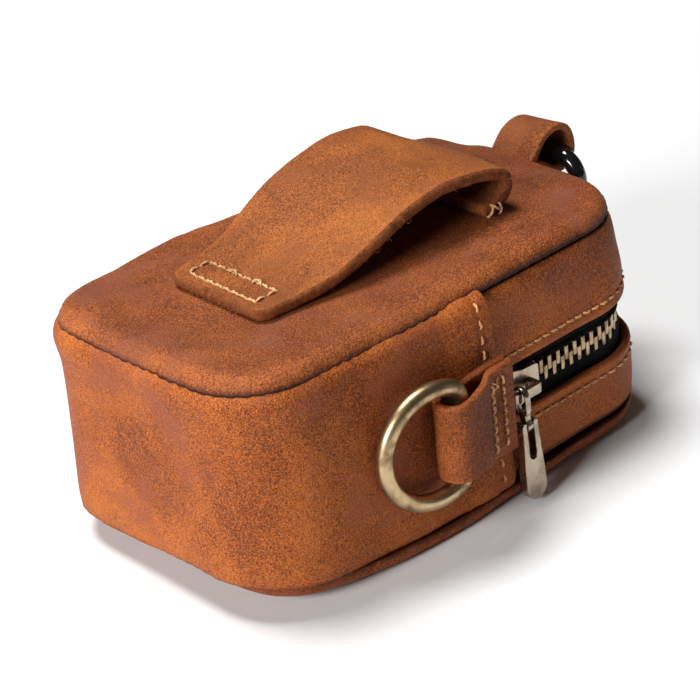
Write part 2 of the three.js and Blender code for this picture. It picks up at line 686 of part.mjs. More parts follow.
// The D: an arc of wire closed by a straight bar, with the bar on the local Y axis and the arc towards -X.
function dRingPoints() {
  const half = Math.sqrt(RING_ARC ** 2 - RING_BAR_OFFSET ** 2);
  const open = Math.asin(half / RING_ARC) + 0.2;
  const arc = turnPoints(-RING_BAR_OFFSET, 0, RING_ARC, open, 2 * Math.PI - open, 32);
  const corner = (side) => {
    const [from, to] = [arc[side > 0 ? 0 : arc.length - 1], new THREE.Vector2(0, side * (half - RING_CORNER))];
    return new THREE.QuadraticBezierCurve(from, new THREE.Vector2(0, side * half), to).getPoints(5).slice(1);
  };
  return [...arc, ...corner(-1), new THREE.Vector2(0, 0), ...corner(1).reverse()];
}

// The D-ring hangs from its bar with the far side of the arc against the wall.
function placeNearRing(ring) {
  const reach = RING_BAR_OFFSET + RING_ARC;
  const restDepth = WALL_DEPTH + GAP + RING_WIRE / 2;
  const swing = Math.asin((BAR_RING_DEPTH - restDepth) / reach);
  ring.rotation.set(Math.PI / 2, 0, 0);
  const holder = new THREE.Group();
  holder.rotation.z = -swing;
  holder.position.set(RING_BAR_X, -BAR_RING_DEPTH, TAB_Z);
  holder.add(ring);
  bag.add(holder);
}

addPiece("tab_near", tabNear(), LEATHER_MATERIAL);
placeNearRing(addPiece("d_ring_near", wireRing(dRingPoints(), RING_WIRE), BRASS_MATERIAL));

// End tab: leaves the upper seam, turns round the end ring's bar and comes back under itself.
const END_BAR_X = HALF_LENGTH + END_TAB_REACH;
const END_TURN = END_RING_WIRE / 2 + FOLD_PLAY + END_TAB_THICK / 2;
const END_ROOT_X = HALF_LENGTH + GAP;
const END_ROOT_Z = BACK_SEAM_Z + 2 * GAP + END_TAB_THICK / 2;
const END_BAR_Z = BACK_SEAM_Z + END_BAR_LIFT;

function tabEnd() {
  const layer = END_TAB_THICK + GAP;
  const points = [
    new THREE.Vector2(END_ROOT_X, END_ROOT_Z + layer),
    new THREE.Vector2(END_ROOT_X + 0.3 * END_TAB_REACH, END_ROOT_Z + layer + END_TAB_ARCH),
    ...turnPoints(END_BAR_X, END_BAR_Z, END_TURN, 0.56 * Math.PI, -0.7 * Math.PI, 10),
    new THREE.Vector2(END_ROOT_X + 0.3 * END_TAB_REACH, END_ROOT_Z - END_TAB_ARCH / 2),
    new THREE.Vector2(END_ROOT_X, END_ROOT_Z),
  ];
  const toSpace = (p, across) => new THREE.Vector3(p.x, across, p.y);
  return strap(points, 36, END_TAB_THICK, () => END_TAB_WIDTH, toSpace);
}

// The end ring: a straight bar with round corners and a half-round foot.
function endRingPoints() {
  const half = END_RING_WIDTH / 2;
  const c = END_RING_CORNER;
  const foot = END_RING_HEIGHT - half;
  return [
    new THREE.Vector2(0, 0),
    ...turnPoints(half - c, -c, c, Math.PI / 2, 0, 6),
    ...turnPoints(0, -foot, half, 0, -Math.PI, 16),
    ...turnPoints(-half + c, -c, c, Math.PI, Math.PI / 2, 6),
  ];
}

addPiece("tab_end", tabEnd(), LEATHER_MATERIAL);
const ringEnd = addPiece("d_ring_end", wireRing(endRingPoints(), END_RING_WIRE), BLACK_METAL_MATERIAL);
ringEnd.rotation.set(Math.PI / 2, Math.PI / 2, 0);
ringEnd.position.set(END_BAR_X, 0, END_BAR_Z);

// Belt loop: shares of its length and of its rise, from the sewn end over the crest to the turned flap.
const LOOP_CURVE = [
  [0, 0],
  [0.07, 0],
  [0.14, 0.015],
  [0.24, 0.11],
  [0.36, 0.38],
  [0.48, 0.68],
  [0.6, 0.91],
  [0.71, 1],
  [0.82, 0.93],
  [0.92, 0.76],
  [0.972, 0.58],
  [0.979, 0.34],
  [0.955, 0.12],
  [0.91, 0.012],
  [0.89, 0],
  [0.865, 0],
];

function beltLoop() {
  const baseZ = BACK_TOP_Z + GAP + LOOP_THICK / 2;
  const rise = LOOP_RISE - LOOP_THICK - GAP;
  const points = LOOP_CURVE.map(
    ([along, up]) => new THREE.Vector2(LOOP_START_X + along * LOOP_LENGTH, baseZ + up * rise),
  );
  const width = (share, length) => {
    const grown = THREE.MathUtils.lerp(LOOP_END_WIDTH, LOOP_WIDTH, THREE.MathUtils.smoothstep(share, 0.04, 0.34));
    const past = LOOP_CORNER - share * length;
    if (past <= 0) return grown;
    return grown - 2 * (LOOP_CORNER - Math.sqrt(LOOP_CORNER ** 2 - past ** 2));
  };
  const toSpace = (p, across) => new THREE.Vector3(p.x, LOOP_Y + across, p.y);
  return strap(points, 64, LOOP_THICK, width, toSpace);
}

addPiece("belt_loop", beltLoop(), LOOP_MATERIAL);

// The origin is under the middle of the whole bag, on the surface that it lies on.
const part = new THREE.Group();
part.add(bag);
const bounds = new THREE.Box3().setFromObject(bag, true);
const centre = bounds.getCenter(new THREE.Vector3());
bag.position.set(-centre.x, -centre.y, -bounds.min.z);

export default part;
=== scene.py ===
"""A small leather zip bag that lies on its front panel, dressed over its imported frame.

Shapes are worked out in millimetres in the bag's own frame: +X points to the open end with the zip,
-Y to the wall with the brass ring, and the origin is under the middle of the back panel.
"""

import json
import math

import bmesh
import bpy
import numpy as np
from mathutils import Matrix, Vector


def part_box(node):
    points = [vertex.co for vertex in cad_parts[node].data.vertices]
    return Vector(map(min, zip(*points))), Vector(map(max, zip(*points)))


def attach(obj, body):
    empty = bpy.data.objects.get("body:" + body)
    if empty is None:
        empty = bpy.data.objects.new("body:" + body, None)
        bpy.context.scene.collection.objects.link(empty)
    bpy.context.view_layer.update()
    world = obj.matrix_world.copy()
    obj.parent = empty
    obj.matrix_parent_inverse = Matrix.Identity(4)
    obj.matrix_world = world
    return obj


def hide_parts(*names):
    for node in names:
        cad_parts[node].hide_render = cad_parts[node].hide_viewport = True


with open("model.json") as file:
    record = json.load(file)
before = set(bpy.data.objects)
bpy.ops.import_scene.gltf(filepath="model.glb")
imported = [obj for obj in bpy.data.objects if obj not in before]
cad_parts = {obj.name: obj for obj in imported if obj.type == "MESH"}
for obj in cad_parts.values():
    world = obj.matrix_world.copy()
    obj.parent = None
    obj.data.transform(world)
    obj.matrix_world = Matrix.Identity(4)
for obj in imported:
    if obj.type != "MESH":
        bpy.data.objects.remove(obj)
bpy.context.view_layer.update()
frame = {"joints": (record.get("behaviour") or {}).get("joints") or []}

LO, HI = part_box("back_panel")
SHIFT = np.array([(LO[0] + HI[0]) / 2, (LO[1] + HI[1]) / 2, 0.0]) * 1000
JOINTS = {j["name"]: np.array(j["pos_m"]) * 1000 - SHIFT for j in frame["joints"]}

# Sizes in millimetres, the same as in the frame's source
HALF_LENGTH, HALF_WIDTH, CORNER_RADIUS = 54.0, 33.0, 14.5
FRONT_SEAM_Z, SEAM_HEIGHT, BACK_DOME = 5.7, 43.8, 3.6
BACK_SEAM_Z = FRONT_SEAM_Z + SEAM_HEIGHT
BACK_TOP_Z = BACK_SEAM_Z + BACK_DOME
WALL_BULGE, LEATHER, GAP = 4.4, 1.8, 0.3
LAYER_STEP = (LEATHER + GAP) / 2
GUSSET_END_X, GUSSET_SLANT, OVERLAP_LENGTH, LIFT_RUN = 8.6, 2.6, 6.0, 9.0
ZIP_Z, ZIP_WINDOW, TAPE_UNDER, TAPE_THICK = 24.2, 10.8, 5.0, 0.6
TAPE_OUT, TAPE_LEAN = 0.551, -0.0527
CHAIN_OUT = TAPE_OUT - TAPE_THICK / 2
TOOTH_PITCH, TOOTH_THICK = 2.54, 2.6
CHAIN_START_X = 21.5
STRIP_START_X = GUSSET_END_X - OVERLAP_LENGTH
STITCH_PITCH, THREAD = 3.55, 0.62

def new_object(name, data):
    obj = bpy.data.objects.new(name, data)
    bpy.context.scene.collection.objects.link(obj)
    return obj


# Camera, with its focal length and the picture's width in the same unit

EYE = np.array([-342.0, -408.1, 318.2])
FORWARD = Vector((0.5647, 0.6719, -0.4791))
UP = Vector((0.3911, 0.2933, 0.8724))
SENSOR_WIDTH, FOCAL_LENGTH, PICTURE_WIDTH = 36, 2893.1, 700
cam_data = bpy.data.cameras.new("camera")
cam_data.sensor_width = SENSOR_WIDTH
cam_data.lens = FOCAL_LENGTH / PICTURE_WIDTH * SENSOR_WIDTH
cam_data.clip_start, cam_data.clip_end = 0.01, 20
cam = new_object("camera", cam_data)
bpy.context.scene.camera = cam
back = -FORWARD.normalized()
right = UP.cross(back).normalized()
turn = Matrix((right, back.cross(right), back)).transposed().to_4x4()
cam.matrix_world = Matrix.Translation(Vector((EYE + SHIFT) / 1000)) @ turn


# Smooth noise for creases and dents

NOISE_CELLS, NOISE_STEPS, NOISE_SHIFT = 4096, np.array([73, 179, 283]), 100.0


def value_noise(points, scale, seed):
    """Smooth noise from -1 to 1 at points, in cells of the given size."""
    table = np.random.RandomState(seed).uniform(-1, 1, NOISE_CELLS)
    p = np.asarray(points, float) / scale + NOISE_SHIFT
    cell = np.floor(p).astype(int)
    f = p - cell
    f = f * f * (3 - 2 * f)
    total = 0
    for corner in range(8):
        o = np.array([corner & 1, corner >> 1 & 1, corner >> 2 & 1])
        weight = np.prod(np.where(o, f, 1 - f), axis=-1)
        total = total + weight * table[np.sum((cell + o) * NOISE_STEPS, axis=-1) % NOISE_CELLS]
    return total


def row_noise(a, scale, seed):
    """Smooth noise by one length."""
    return value_noise(np.stack([a, 0 * a, 0 * a], -1), scale, seed)


def smoothstep(x, a, b):
    t = np.clip((np.asarray(x, float) - a) / (b - a), 0, 1)
    return t * t * (3 - 2 * t)


def bell(x, width):
    return np.exp(-((np.asarray(x, float) / width) ** 2))


def unit(v):
    return v / np.maximum(np.linalg.norm(v, axis=-1, keepdims=True), 1e-9)


def from_ends(places, length):
    """How far each place is from the nearer end of a length."""
    return np.minimum(places, length - places)


# Curves


def between(t, t0, a, t1, b):
    return (t1 - t) / (t1 - t0) * a + (t - t0) / (t1 - t0) * b


def curve(points, steps):
    """A centripetal Catmull-Rom curve through points."""
    p = np.asarray(points, float)
    p = np.vstack([2 * p[0] - p[1], p, 2 * p[-1] - p[-2]])
    out = []
    for i in range(1, len(p) - 2):
        a, b, c, d = p[i - 1 : i + 3]
        t1 = math.sqrt(np.linalg.norm(b - a))
        t2 = t1 + math.sqrt(np.linalg.norm(c - b))
        t3 = t2 + math.sqrt(np.linalg.norm(d - c))
        for t in np.linspace(t1, t2, steps, endpoint=False):
            middle = between(t, t1, b, t2, c)
            first = between(t, 0.0, between(t, 0.0, a, t1, b), t2, middle)
            last = between(t, t1, middle, t3, between(t, t2, c, t3, d))
            out.append(between(t, t1, first, t2, last))
    return Line(out + [p[-2]])


class Line:
    """A line that gives points and tangents by length along it."""

    def __init__(self, points, closed=False):
        p = np.asarray(points, float)
        self.closed = closed
        self.p = np.vstack([p, p[:1]]) if closed else p
        self.s = np.concatenate([[0], np.cumsum(np.linalg.norm(np.diff(self.p, axis=0), axis=1))])
        self.length = self.s[-1]

    def at(self, s):
        s = np.asarray(s, float)
        s = np.mod(s, self.length) if self.closed else np.clip(s, 0, self.length)
        return np.stack([np.interp(s, self.s, column) for column in self.p.T], -1)

    def tangent(self, s, reach):
        s = np.asarray(s, float)
        return unit(self.at(s + reach) - self.at(s - reach))


# Mesh pieces

WELD_DISTANCE, SHORT_EDGE = 2e-6, 1e-7


def add_piece(name, parts, material, body, slot, stands_for=(), wear_and_shade=None, uv=None, mats=None):
    """Makes a piece from parts, each with its points and faces, and lets it ride on a body."""
    points, faces, start = np.vstack([p for p, _ in parts]), [], 0
    for part_points, part_faces in parts:
        faces += [[int(i) + start for i in face] for face in part_faces]
        start += len(part_points)
    mesh = bpy.data.meshes.new(name)
    mesh.from_pydata(((points + SHIFT) / 1000).tolist(), [], faces)
    if wear_and_shade is not None:
        # Per-point marks: lighter rubbed wear above zero, painted shade along the seams far below zero
        layer = mesh.attributes.new("wear_and_shade", "FLOAT", "POINT")
        layer.data.foreach_set("value", np.asarray(wear_and_shade, np.float32).ravel())
    if uv is not None:
        layer = mesh.uv_layers.new(name="UVMap")
        loops = np.empty(len(mesh.loops), np.int32)
        mesh.loops.foreach_get("vertex_index", loops)
        layer.data.foreach_set("uv", np.asarray(uv, np.float32).reshape(-1, 2)[loops].ravel())
    obj = new_object(name, mesh)
    for m in material if isinstance(material, (list, tuple)) else [material]:
        mesh.materials.append(m)
    if mats is not None:
        mesh.polygons.foreach_set("material_index", np.asarray(mats, np.int32))
    bm = bmesh.new()
    bm.from_mesh(mesh)
    bmesh.ops.remove_doubles(bm, verts=bm.verts, dist=WELD_DISTANCE)
    bmesh.ops.dissolve_degenerate(bm, dist=SHORT_EDGE, edges=bm.edges)
    bmesh.ops.recalc_face_normals(bm, faces=bm.faces)
    bm.to_mesh(mesh)
    bm.free()
    mesh.polygons.foreach_set("use_smooth", np.ones(len(mesh.polygons), bool))
    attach(obj, body)
    if stands_for:
        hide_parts(*stands_for)
    return obj


def grid_faces(nu, nv, wrap_u=False, wrap_v=False, start=0, flip=False):
    u = np.arange(nu if wrap_u else nu - 1)
    v = np.arange(nv if wrap_v else nv - 1)
    a, b = np.meshgrid(u, v, indexing="ij")
    a2, b2 = (a + 1) % nu, (b + 1) % nv
    quads = np.stack([a * nv + b, a2 * nv + b, a2 * nv + b2, a * nv + b2], -1).reshape(-1, 4) + start
    return quads[:, ::-1] if flip else quads


EDGE_STEPS, EDGE_POWER, RAW_SHARE, NORMAL_REACH, UV_SIZE = 6, 2.4, 0.96, 0.05, 10


def edge_spacing(length, step, edge):
    """Places from 0 to length, close together near both ends so that an edge can be rounded."""
    near = edge * (1 - np.cos(np.linspace(0, math.pi / 2, EDGE_STEPS)))
    count = max(2, int(round((length - 2 * edge) / step)))
    middle = np.linspace(edge, length - edge, count + 1)
    return np.concatenate([near[:-1], middle, length - near[:-1][::-1]])


def edge_round(places, length, edge):
    """Share of the full thickness at each place: 0 at the very ends, 1 further in than edge."""
    t = np.clip(1 - from_ends(places, length) / edge, 0, 1)
    return (1 - t**EDGE_POWER) ** (1 / EDGE_POWER)


def outward_normal(surf, a, b, out=-1):
    """out is -1 where a crossed with b points into the bag."""
    h = NORMAL_REACH
    return unit(out * np.cross(surf(a + h, b) - surf(a - h, b), surf(a, b + h) - surf(a, b - h)))


def layer(name, surf, size, thick, step, material, node, wear_and_shade, relief, edge, out=-1, closed=False,
          slot="bag_leather", raw=None):
    """A layer round a middle surface, in the place of one node. surf(a, b) places points by two lengths.

    relief(a, b, p, side) moves its surface outwards. raw is the material of its cut edges and inner side.
    """
    a, b = (edge_spacing(size[k], step[k], edge) for k in (0, 1))
    if closed:
        a = np.linspace(0, size[0], int(size[0] / step[0]), endpoint=False)
    ga, gb = np.meshgrid(a, b, indexing="ij")
    p = surf(ga, gb)
    n = outward_normal(surf, ga, gb, out)
    share = edge_round(b, size[1], edge)[None, :] * (1 if closed else edge_round(a, size[0], edge)[:, None])
    half = thick / 2 * share
    top = p + n * (half + relief(ga, gb, p, 1) * share)[..., None]
    low = p - n * (half - relief(ga, gb, p, -1) * share)[..., None]
    nu, nv = ga.shape
    points = np.concatenate([top.reshape(-1, 3), low.reshape(-1, 3)])
    faces = np.vstack([grid_faces(nu, nv, closed), grid_faces(nu, nv, closed, start=nu * nv, flip=True)])
    uv = np.stack([ga, gb], -1).reshape(-1, 2) / UV_SIZE
    marks = np.concatenate([np.broadcast_to(wear_and_shade(ga, gb, p, side), ga.shape).ravel() for side in (1, -1)])
    mats = None
    if raw is not None:
        material = [material, raw]
        full = np.tile(np.broadcast_to(share, ga.shape).ravel(), 2)
        is_inner = np.repeat([False, True], len(faces) // 2)
        mats = ((full[faces].mean(axis=1) < RAW_SHARE) | is_inner).astype(int)
    add_piece(name, [(points, faces)], material, "bag", slot, [node], marks, np.vstack([uv, uv]), mats)


def tube_parts(line, radius, sides=12, closed=False, flat=1.0, up=(0, 0, 1)):
    """Points and faces of a tube along points. flat squeezes it along up."""
    p = np.asarray(line, float)
    n = len(p)
    t = unit(np.roll(p, -1, 0) - np.roll(p, 1, 0) if closed else np.gradient(p, axis=0))
    side = unit(np.cross(t, np.broadcast_to(np.asarray(up, float), p.shape)))
    top = np.cross(side, t)
    ang = np.linspace(0, 2 * math.pi, sides, endpoint=False)
    r = np.broadcast_to(np.asarray(radius, float), (n,))
    ring = p[:, None] + r[:, None, None] * (
        np.cos(ang)[None, :, None] * side[:, None] + flat * np.sin(ang)[None, :, None] * top[:, None]
    )
    faces = grid_faces(n, sides, closed, True).tolist()
    if not closed:
        faces += [list(range(sides))[::-1], list(range((n - 1) * sides, n * sides))]
    return ring.reshape(-1, 3), faces


# Stitches

STITCH_LENGTH, PLY_TWIST, PLY_RADIUS, PLY_SWING = 2.1, 2.6, 0.30, 0.22


def stitch_row(places, normals, length=STITCH_LENGTH, lie=0.12, slant=0.0, seed=1):
    """One short raised thread of two twisted plies at each place; the row runs from place to place."""
    rng = np.random.RandomState(seed)
    parts = []
    for p, t, n in zip(places, unit(np.gradient(places, axis=0)), normals):
        n = n - t * np.dot(t, n)
        n /= np.linalg.norm(n)
        across = np.cross(n, t)
        turn_by = slant + rng.uniform(-0.10, 0.10)
        t = t * math.cos(turn_by) + across * math.sin(turn_by)
        across = np.cross(n, t)
        half = length / 2 * rng.uniform(0.94, 1.08)
        u = np.linspace(-1, 1, 13)
        sink = lie + THREAD * (0.36 - 0.95 * np.abs(u) ** 3.2)
        line = p + u[:, None] * half * t + sink[:, None] * n
        phase = u * half * PLY_TWIST + rng.uniform(0, math.pi)
        thick = THREAD * PLY_RADIUS * (1 - 0.35 * np.abs(u) ** 4)
        for ply in (0, math.pi):
            swirl = np.cos(phase + ply)[:, None] * across + np.sin(phase + ply)[:, None] * n
            parts.append(tube_parts(line + swirl * THREAD * PLY_SWING, thick, 6, up=n))
    return parts


def row_places(length, start, pitch=STITCH_PITCH):
    count = max(2, int(round((length - start) / pitch)))
    return start + (np.arange(count) + 0.5) * (length - start) / count


# Materials


class Nodes:
    """Short calls that make and link shader nodes."""

    def __init__(self, name):
        self.material = bpy.data.materials.new(name)
        self.material.use_nodes = True
        self.tree = self.material.node_tree
        self.shader = next(n for n in self.tree.nodes if n.type == "BSDF_PRINCIPLED")
        self.place = self.new("ShaderNodeTexCoord").outputs["Object"]

    def new(self, kind, **values):
        node = self.tree.nodes.new(kind)
        for key, value in values.items():
            setattr(node, key, value)
        return node

    def put(self, socket, value):
        if hasattr(value, "links"):
            self.tree.links.new(value, socket)
        else:
            socket.default_value = value

    def noise(self, size_mm, detail=4.0, rough=0.55, place=None, warp=0.0):
        node = self.new("ShaderNodeTexNoise")
        self.put(node.inputs["Vector"], place or self.place)
        node.inputs["Scale"].default_value = 1000.0 / size_mm
        node.inputs["Detail"].default_value = detail
        node.inputs["Roughness"].default_value = rough
        node.inputs["Distortion"].default_value = warp
        return node.outputs["Fac"]

    def cells(self, size_mm):
        node = self.new("ShaderNodeTexVoronoi", feature="DISTANCE_TO_EDGE")
        self.put(node.inputs["Vector"], self.place)
        node.inputs["Scale"].default_value = 1000.0 / size_mm
        return node.outputs["Distance"]

    def ramp(self, value, stops, smooth=True):
        node = self.new("ShaderNodeValToRGB")
        node.color_ramp.interpolation = "EASE" if smooth else "LINEAR"
        self.put(node.inputs["Fac"], value)
        ramp = node.color_ramp
        while len(ramp.elements) < len(stops):
            ramp.elements.new(0.5)
        for element, (at, colour) in zip(ramp.elements, stops):
            element.position = at
            element.color = colour if isinstance(colour, tuple) else (colour, colour, colour, 1)
        return node.outputs["Color"]

    def mix(self, factor, a, b):
        node = self.new("ShaderNodeMix", data_type="RGBA")
        self.put(node.inputs["Factor"], factor)
        self.put(node.inputs["A"], a)
        self.put(node.inputs["B"], b)
        return node.outputs["Result"]

    def math(self, kind, a, b, clamp=False):
        node = self.new("ShaderNodeMath", operation=kind, use_clamp=clamp)
        self.put(node.inputs[0], a)
        self.put(node.inputs[1], b)
        return node.outputs[0]

    def times(self, a, b):
        return self.math("MULTIPLY", a, b)

    def plus(self, a, b, clamp=False):
        return self.math("ADD", a, b, clamp)

    def attribute(self, name):
        return self.new("ShaderNodeAttribute", attribute_name=name).outputs["Fac"]

    def bump(self, height, depth_mm, strength=1.0, normal=None):
        node = self.new("ShaderNodeBump")
        node.inputs["Distance"].default_value = depth_mm / 1000
        node.inputs["Strength"].default_value = strength
        self.put(node.inputs["Height"], height)
        if normal is not None:
            self.put(node.inputs["Normal"], normal)
        return node.outputs["Normal"]

    def set(self, **values):
        for key, value in values.items():
            self.put(self.shader.inputs[key.replace("_", " ")], value)


def rgb(r, g, b):
    return (r, g, b, 1.0)


def leather(name, dark, middle, light, wax):
    """Waxed pull-up leather: cloudy, darker where the wax sits, lighter where it is bent or rubbed, and with
    painted shade in the bottoms of seams.
    """
    m = Nodes(name)
    clouds = m.noise(30, 4, 0.55, warp=0.8)
    patches = m.noise(8, 6, 0.66, warp=0.5)
    fine = m.noise(0.9, 5, 0.72)
    nap = m.noise(0.34, 3, 0.6)
    # The wear_and_shade attribute lightens rubbed places above zero and darkens seam bottoms as painted shade
    # below zero
    tone = m.plus(m.times(m.attribute("wear_and_shade"), 0.24), 0.46)
    for part, share in ((clouds, 0.7), (patches, 0.32), (fine, 0.55), (nap, 1.8)):
        tone = m.plus(tone, m.times(m.math("SUBTRACT", part, 0.5), share))
    colour = m.ramp(tone, [(0.24, dark), (0.50, middle), (0.76, light)], smooth=False)
    # Waxy patches with a cooler, redder brown
    waxy = m.ramp(m.noise(17, 5, 0.6, warp=1.0), [(0.47, 0.0), (0.64, 0.62)])
    colour = m.mix(waxy, colour, wax)
    # Thin rubbed scratches that run in a few directions
    for turn_by, seed in ((0.5, 0.031), (-0.9, 0.077), (2.0, 0.012)):
        node = m.new("ShaderNodeMapping")
        m.put(node.inputs["Vector"], m.place)
        node.inputs["Location"].default_value = (seed, seed, seed)
        node.inputs["Rotation"].default_value = (turn_by * 0.6, turn_by * 0.4, turn_by)
        node.inputs["Scale"].default_value = (0.09, 1.5, 1.5)
        streak = m.noise(1.5, 2, 0.5, place=node.outputs["Vector"], warp=0.25)
        scratched = m.ramp(streak, [(0.66, 0.0), (0.73, 1.0)])
        colour = m.mix(m.times(scratched, m.ramp(patches, [(0.50, 0.0), (0.66, 0.5)])), colour, light)
    grain = m.cells(0.62)
    pore = m.ramp(grain, [(0.0, 0.0), (0.25, 1.0)])
    colour = m.mix(m.times(m.math("SUBTRACT", 1.0, pore), 0.22), colour, dark)
    # A wear_and_shade value far below zero marks the bottom of a seam, where a near-black painted shade is
    # laid
    painted_seam_shade = m.ramp(m.times(m.attribute("wear_and_shade"), -0.5), [(0.30, 0.0), (0.80, 0.9)])
    colour = m.mix(painted_seam_shade, colour, rgb(0.016, 0.005, 0.002))
    m.set(Base_Color=colour, Specular_IOR_Level=0.22)
    m.set(Roughness=m.ramp(patches, [(0.3, 0.56), (0.7, 0.72)]))
    height = m.plus(m.times(pore, 0.3), m.plus(fine, m.times(nap, 0.5)))
    normal = m.bump(height, 0.2, 0.9)
    normal = m.bump(m.noise(4.2, 3, 0.6), 0.26, 0.6, normal)
    m.set(Normal=normal)
    return m.material


def flesh(name, pale, deep):
    """A cut edge or the inner side of the hide: fibrous and matt."""
    m = Nodes(name)
    fibre = m.noise(0.55, 5, 0.75, warp=1.2)
    clumps = m.noise(2.4, 4, 0.7)
    tone = m.plus(m.times(fibre, 0.6), m.times(clumps, 0.4))
    m.set(Base_Color=m.ramp(tone, [(0.34, deep), (0.66, pale)], smooth=False), Roughness=0.95)
    m.set(Normal=m.bump(fibre, 0.35, 1.0), Specular_IOR_Level=0.1)
    return m.material


def metal(name, base, deep, rough=0.3, stain=0.5, spread=6.0):
    """Worn plated metal, darker in its stains."""
    m = Nodes(name)
    cloud = m.noise(spread, 5, 0.65)
    speck = m.noise(0.7, 4, 0.7)
    mask = m.times(m.ramp(cloud, [(0.42, 0.0), (0.68, 1.0)]), stain)
    mask = m.plus(mask, m.times(m.ramp(speck, [(0.6, 0.0), (0.74, 1.0)]), 0.35), clamp=True)
    m.set(Base_Color=m.mix(mask, base, deep), Metallic=1.0)
    m.set(Roughness=m.ramp(cloud, [(0.3, rough), (0.75, rough + 0.16)]))
    m.set(Normal=m.bump(m.noise(1.6, 4, 0.6), 0.03, 0.5))
    return m.material


def gloss_black(name):
    m = Nodes(name)
    cloud = m.noise(5, 3, 0.5)
    m.set(Base_Color=m.ramp(cloud, [(0.3, rgb(0.004, 0.004, 0.005)), (0.7, rgb(0.012, 0.012, 0.014))]))
    m.set(Roughness=m.ramp(cloud, [(0.3, 0.10), (0.7, 0.20)]), Specular_IOR_Level=0.6)
    m.set(Normal=m.bump(m.noise(2.2, 3, 0.5), 0.01, 0.4))
    m.shader.inputs["Coat Weight"].default_value = 0.5
    m.shader.inputs["Coat Roughness"].default_value = 0.08
    return m.material


def woven(name):
    """Black zip tape: a fine twill that runs along the tape."""
    m = Nodes(name)
    uv = m.new("ShaderNodeUVMap", uv_map="UVMap").outputs["UV"]
    node = m.new("ShaderNodeTexWave", wave_type="BANDS", bands_direction="DIAGONAL")
    m.put(node.inputs["Vector"], uv)
    node.inputs["Scale"].default_value = 9.0
    node.inputs["Distortion"].default_value = 0.6
    weave = node.outputs["Fac"]
    colour = m.ramp(weave, [(0.2, rgb(0.002, 0.002, 0.002)), (0.9, rgb(0.012, 0.0115, 0.011))])
    fuzz = m.noise(0.4, 4, 0.7)
    specks = m.ramp(fuzz, [(0.5, 0.0), (0.68, 0.5)])
    m.set(Base_Color=m.mix(specks, colour, rgb(0.04, 0.038, 0.036)), Roughness=0.95, Specular_IOR_Level=0.12)
    m.set(Normal=m.bump(m.plus(weave, fuzz), 0.16, 1.0))
    return m.material


def thread(name, pale, deep):
    m = Nodes(name)
    ply = m.noise(0.35, 4, 0.6)
    cloud = m.noise(9, 3, 0.6)
    colour = m.ramp(m.plus(m.times(ply, 0.5), m.times(cloud, 0.5)),
                    [(0.35, deep), (0.62, pale)], smooth=False)
    m.set(Base_Color=colour, Roughness=0.8)
    m.set(Normal=m.bump(ply, 0.06, 0.8))
    m.shader.inputs["Sheen Weight"].default_value = 0.2
    return m.material


BODY_LEATHER = leather(
    "bag_leather", rgb(0.110, 0.022, 0.005), rgb(0.325, 0.076, 0.012), rgb(0.52, 0.148, 0.028),
    rgb(0.290, 0.078, 0.034))
TOP_LEATHER = leather(
    "panel_leather", rgb(0.100, 0.023, 0.007), rgb(0.262, 0.066, 0.016), rgb(0.46, 0.130, 0.030),
    rgb(0.240, 0.074, 0.036))
# A darker copy of the bag leather for the tab: painted shade for the tab on the shaded near wall
SHADED_TAB_LEATHER = leather(
    "shaded_tab_leather", rgb(0.070, 0.016, 0.004), rgb(0.205, 0.046, 0.009), rgb(0.38, 0.100, 0.020),
    rgb(0.170, 0.042, 0.012))
LOOP_LEATHER = leather(
    "loop_leather", rgb(0.100, 0.024, 0.005), rgb(0.262, 0.072, 0.014), rgb(0.44, 0.135, 0.028),
    rgb(0.240, 0.070, 0.020))
FLESH = flesh("raw_edge", rgb(0.38, 0.116, 0.038), rgb(0.05, 0.012, 0.005))
FUZZ = flesh("loose_fibre", rgb(0.50, 0.22, 0.10), rgb(0.20, 0.07, 0.030))
BRASS = metal("antique_brass", rgb(0.54, 0.39, 0.22), rgb(0.14, 0.080, 0.033), 0.28, 0.8, 5.0)
STEEL = metal("zip_metal", rgb(0.43, 0.35, 0.26), rgb(0.085, 0.060, 0.040), 0.20, 0.45, 4.0)
TOOTH = metal("tooth_metal", rgb(0.44, 0.32, 0.20), rgb(0.09, 0.055, 0.028), 0.26, 0.6, 2.0)
BLACK = gloss_black("black_metal")
TAPE = woven("zip_tape")
STITCH = thread("stitch_thread", rgb(0.84, 0.44, 0.17), rgb(0.42, 0.15, 0.045))
CREAM = thread("loop_thread", rgb(0.74, 0.44, 0.20), rgb(0.36, 0.15, 0.050))


# The bag's outline, by length from the middle of the near wall towards the open end


def rounded_outline(half_x, half_y, radius, step=0.5):
    """Points round a rounded rectangle, anticlockwise from the middle of the near side."""
    cx, cy = half_x - radius, half_y - radius
    path = [np.array([0.0, -half_y])]

    def run(x, y):
        end = np.array([x, y])
        count = max(1, int(np.linalg.norm(end - path[-1]) / step))
        path.extend(np.linspace(path[-1], end, count + 1)[1:])

    def arc(x, y, start):
        for angle in np.linspace(start, start + math.pi / 2, int(radius * math.pi / 2 / step) + 1)[1:]:
            path.append(np.array([x + radius * math.cos(angle), y + radius * math.sin(angle)]))

    run(cx, -half_y)
    arc(cx, -cy, -math.pi / 2)
    run(half_x, cy)
    arc(cx, cy, 0)
    run(-cx, half_y)
    arc(-cx, cy, math.pi / 2)
    run(-half_x, -cy)
    arc(-cx, -cy, math.pi)
    run(0, -half_y)
    return np.array(path[:-1])


def smooth_closed(points, rounds):
    for _ in range(rounds):
        points = 0.25 * np.roll(points, 1, 0) + 0.5 * points + 0.25 * np.roll(points, -1, 0)
    return points


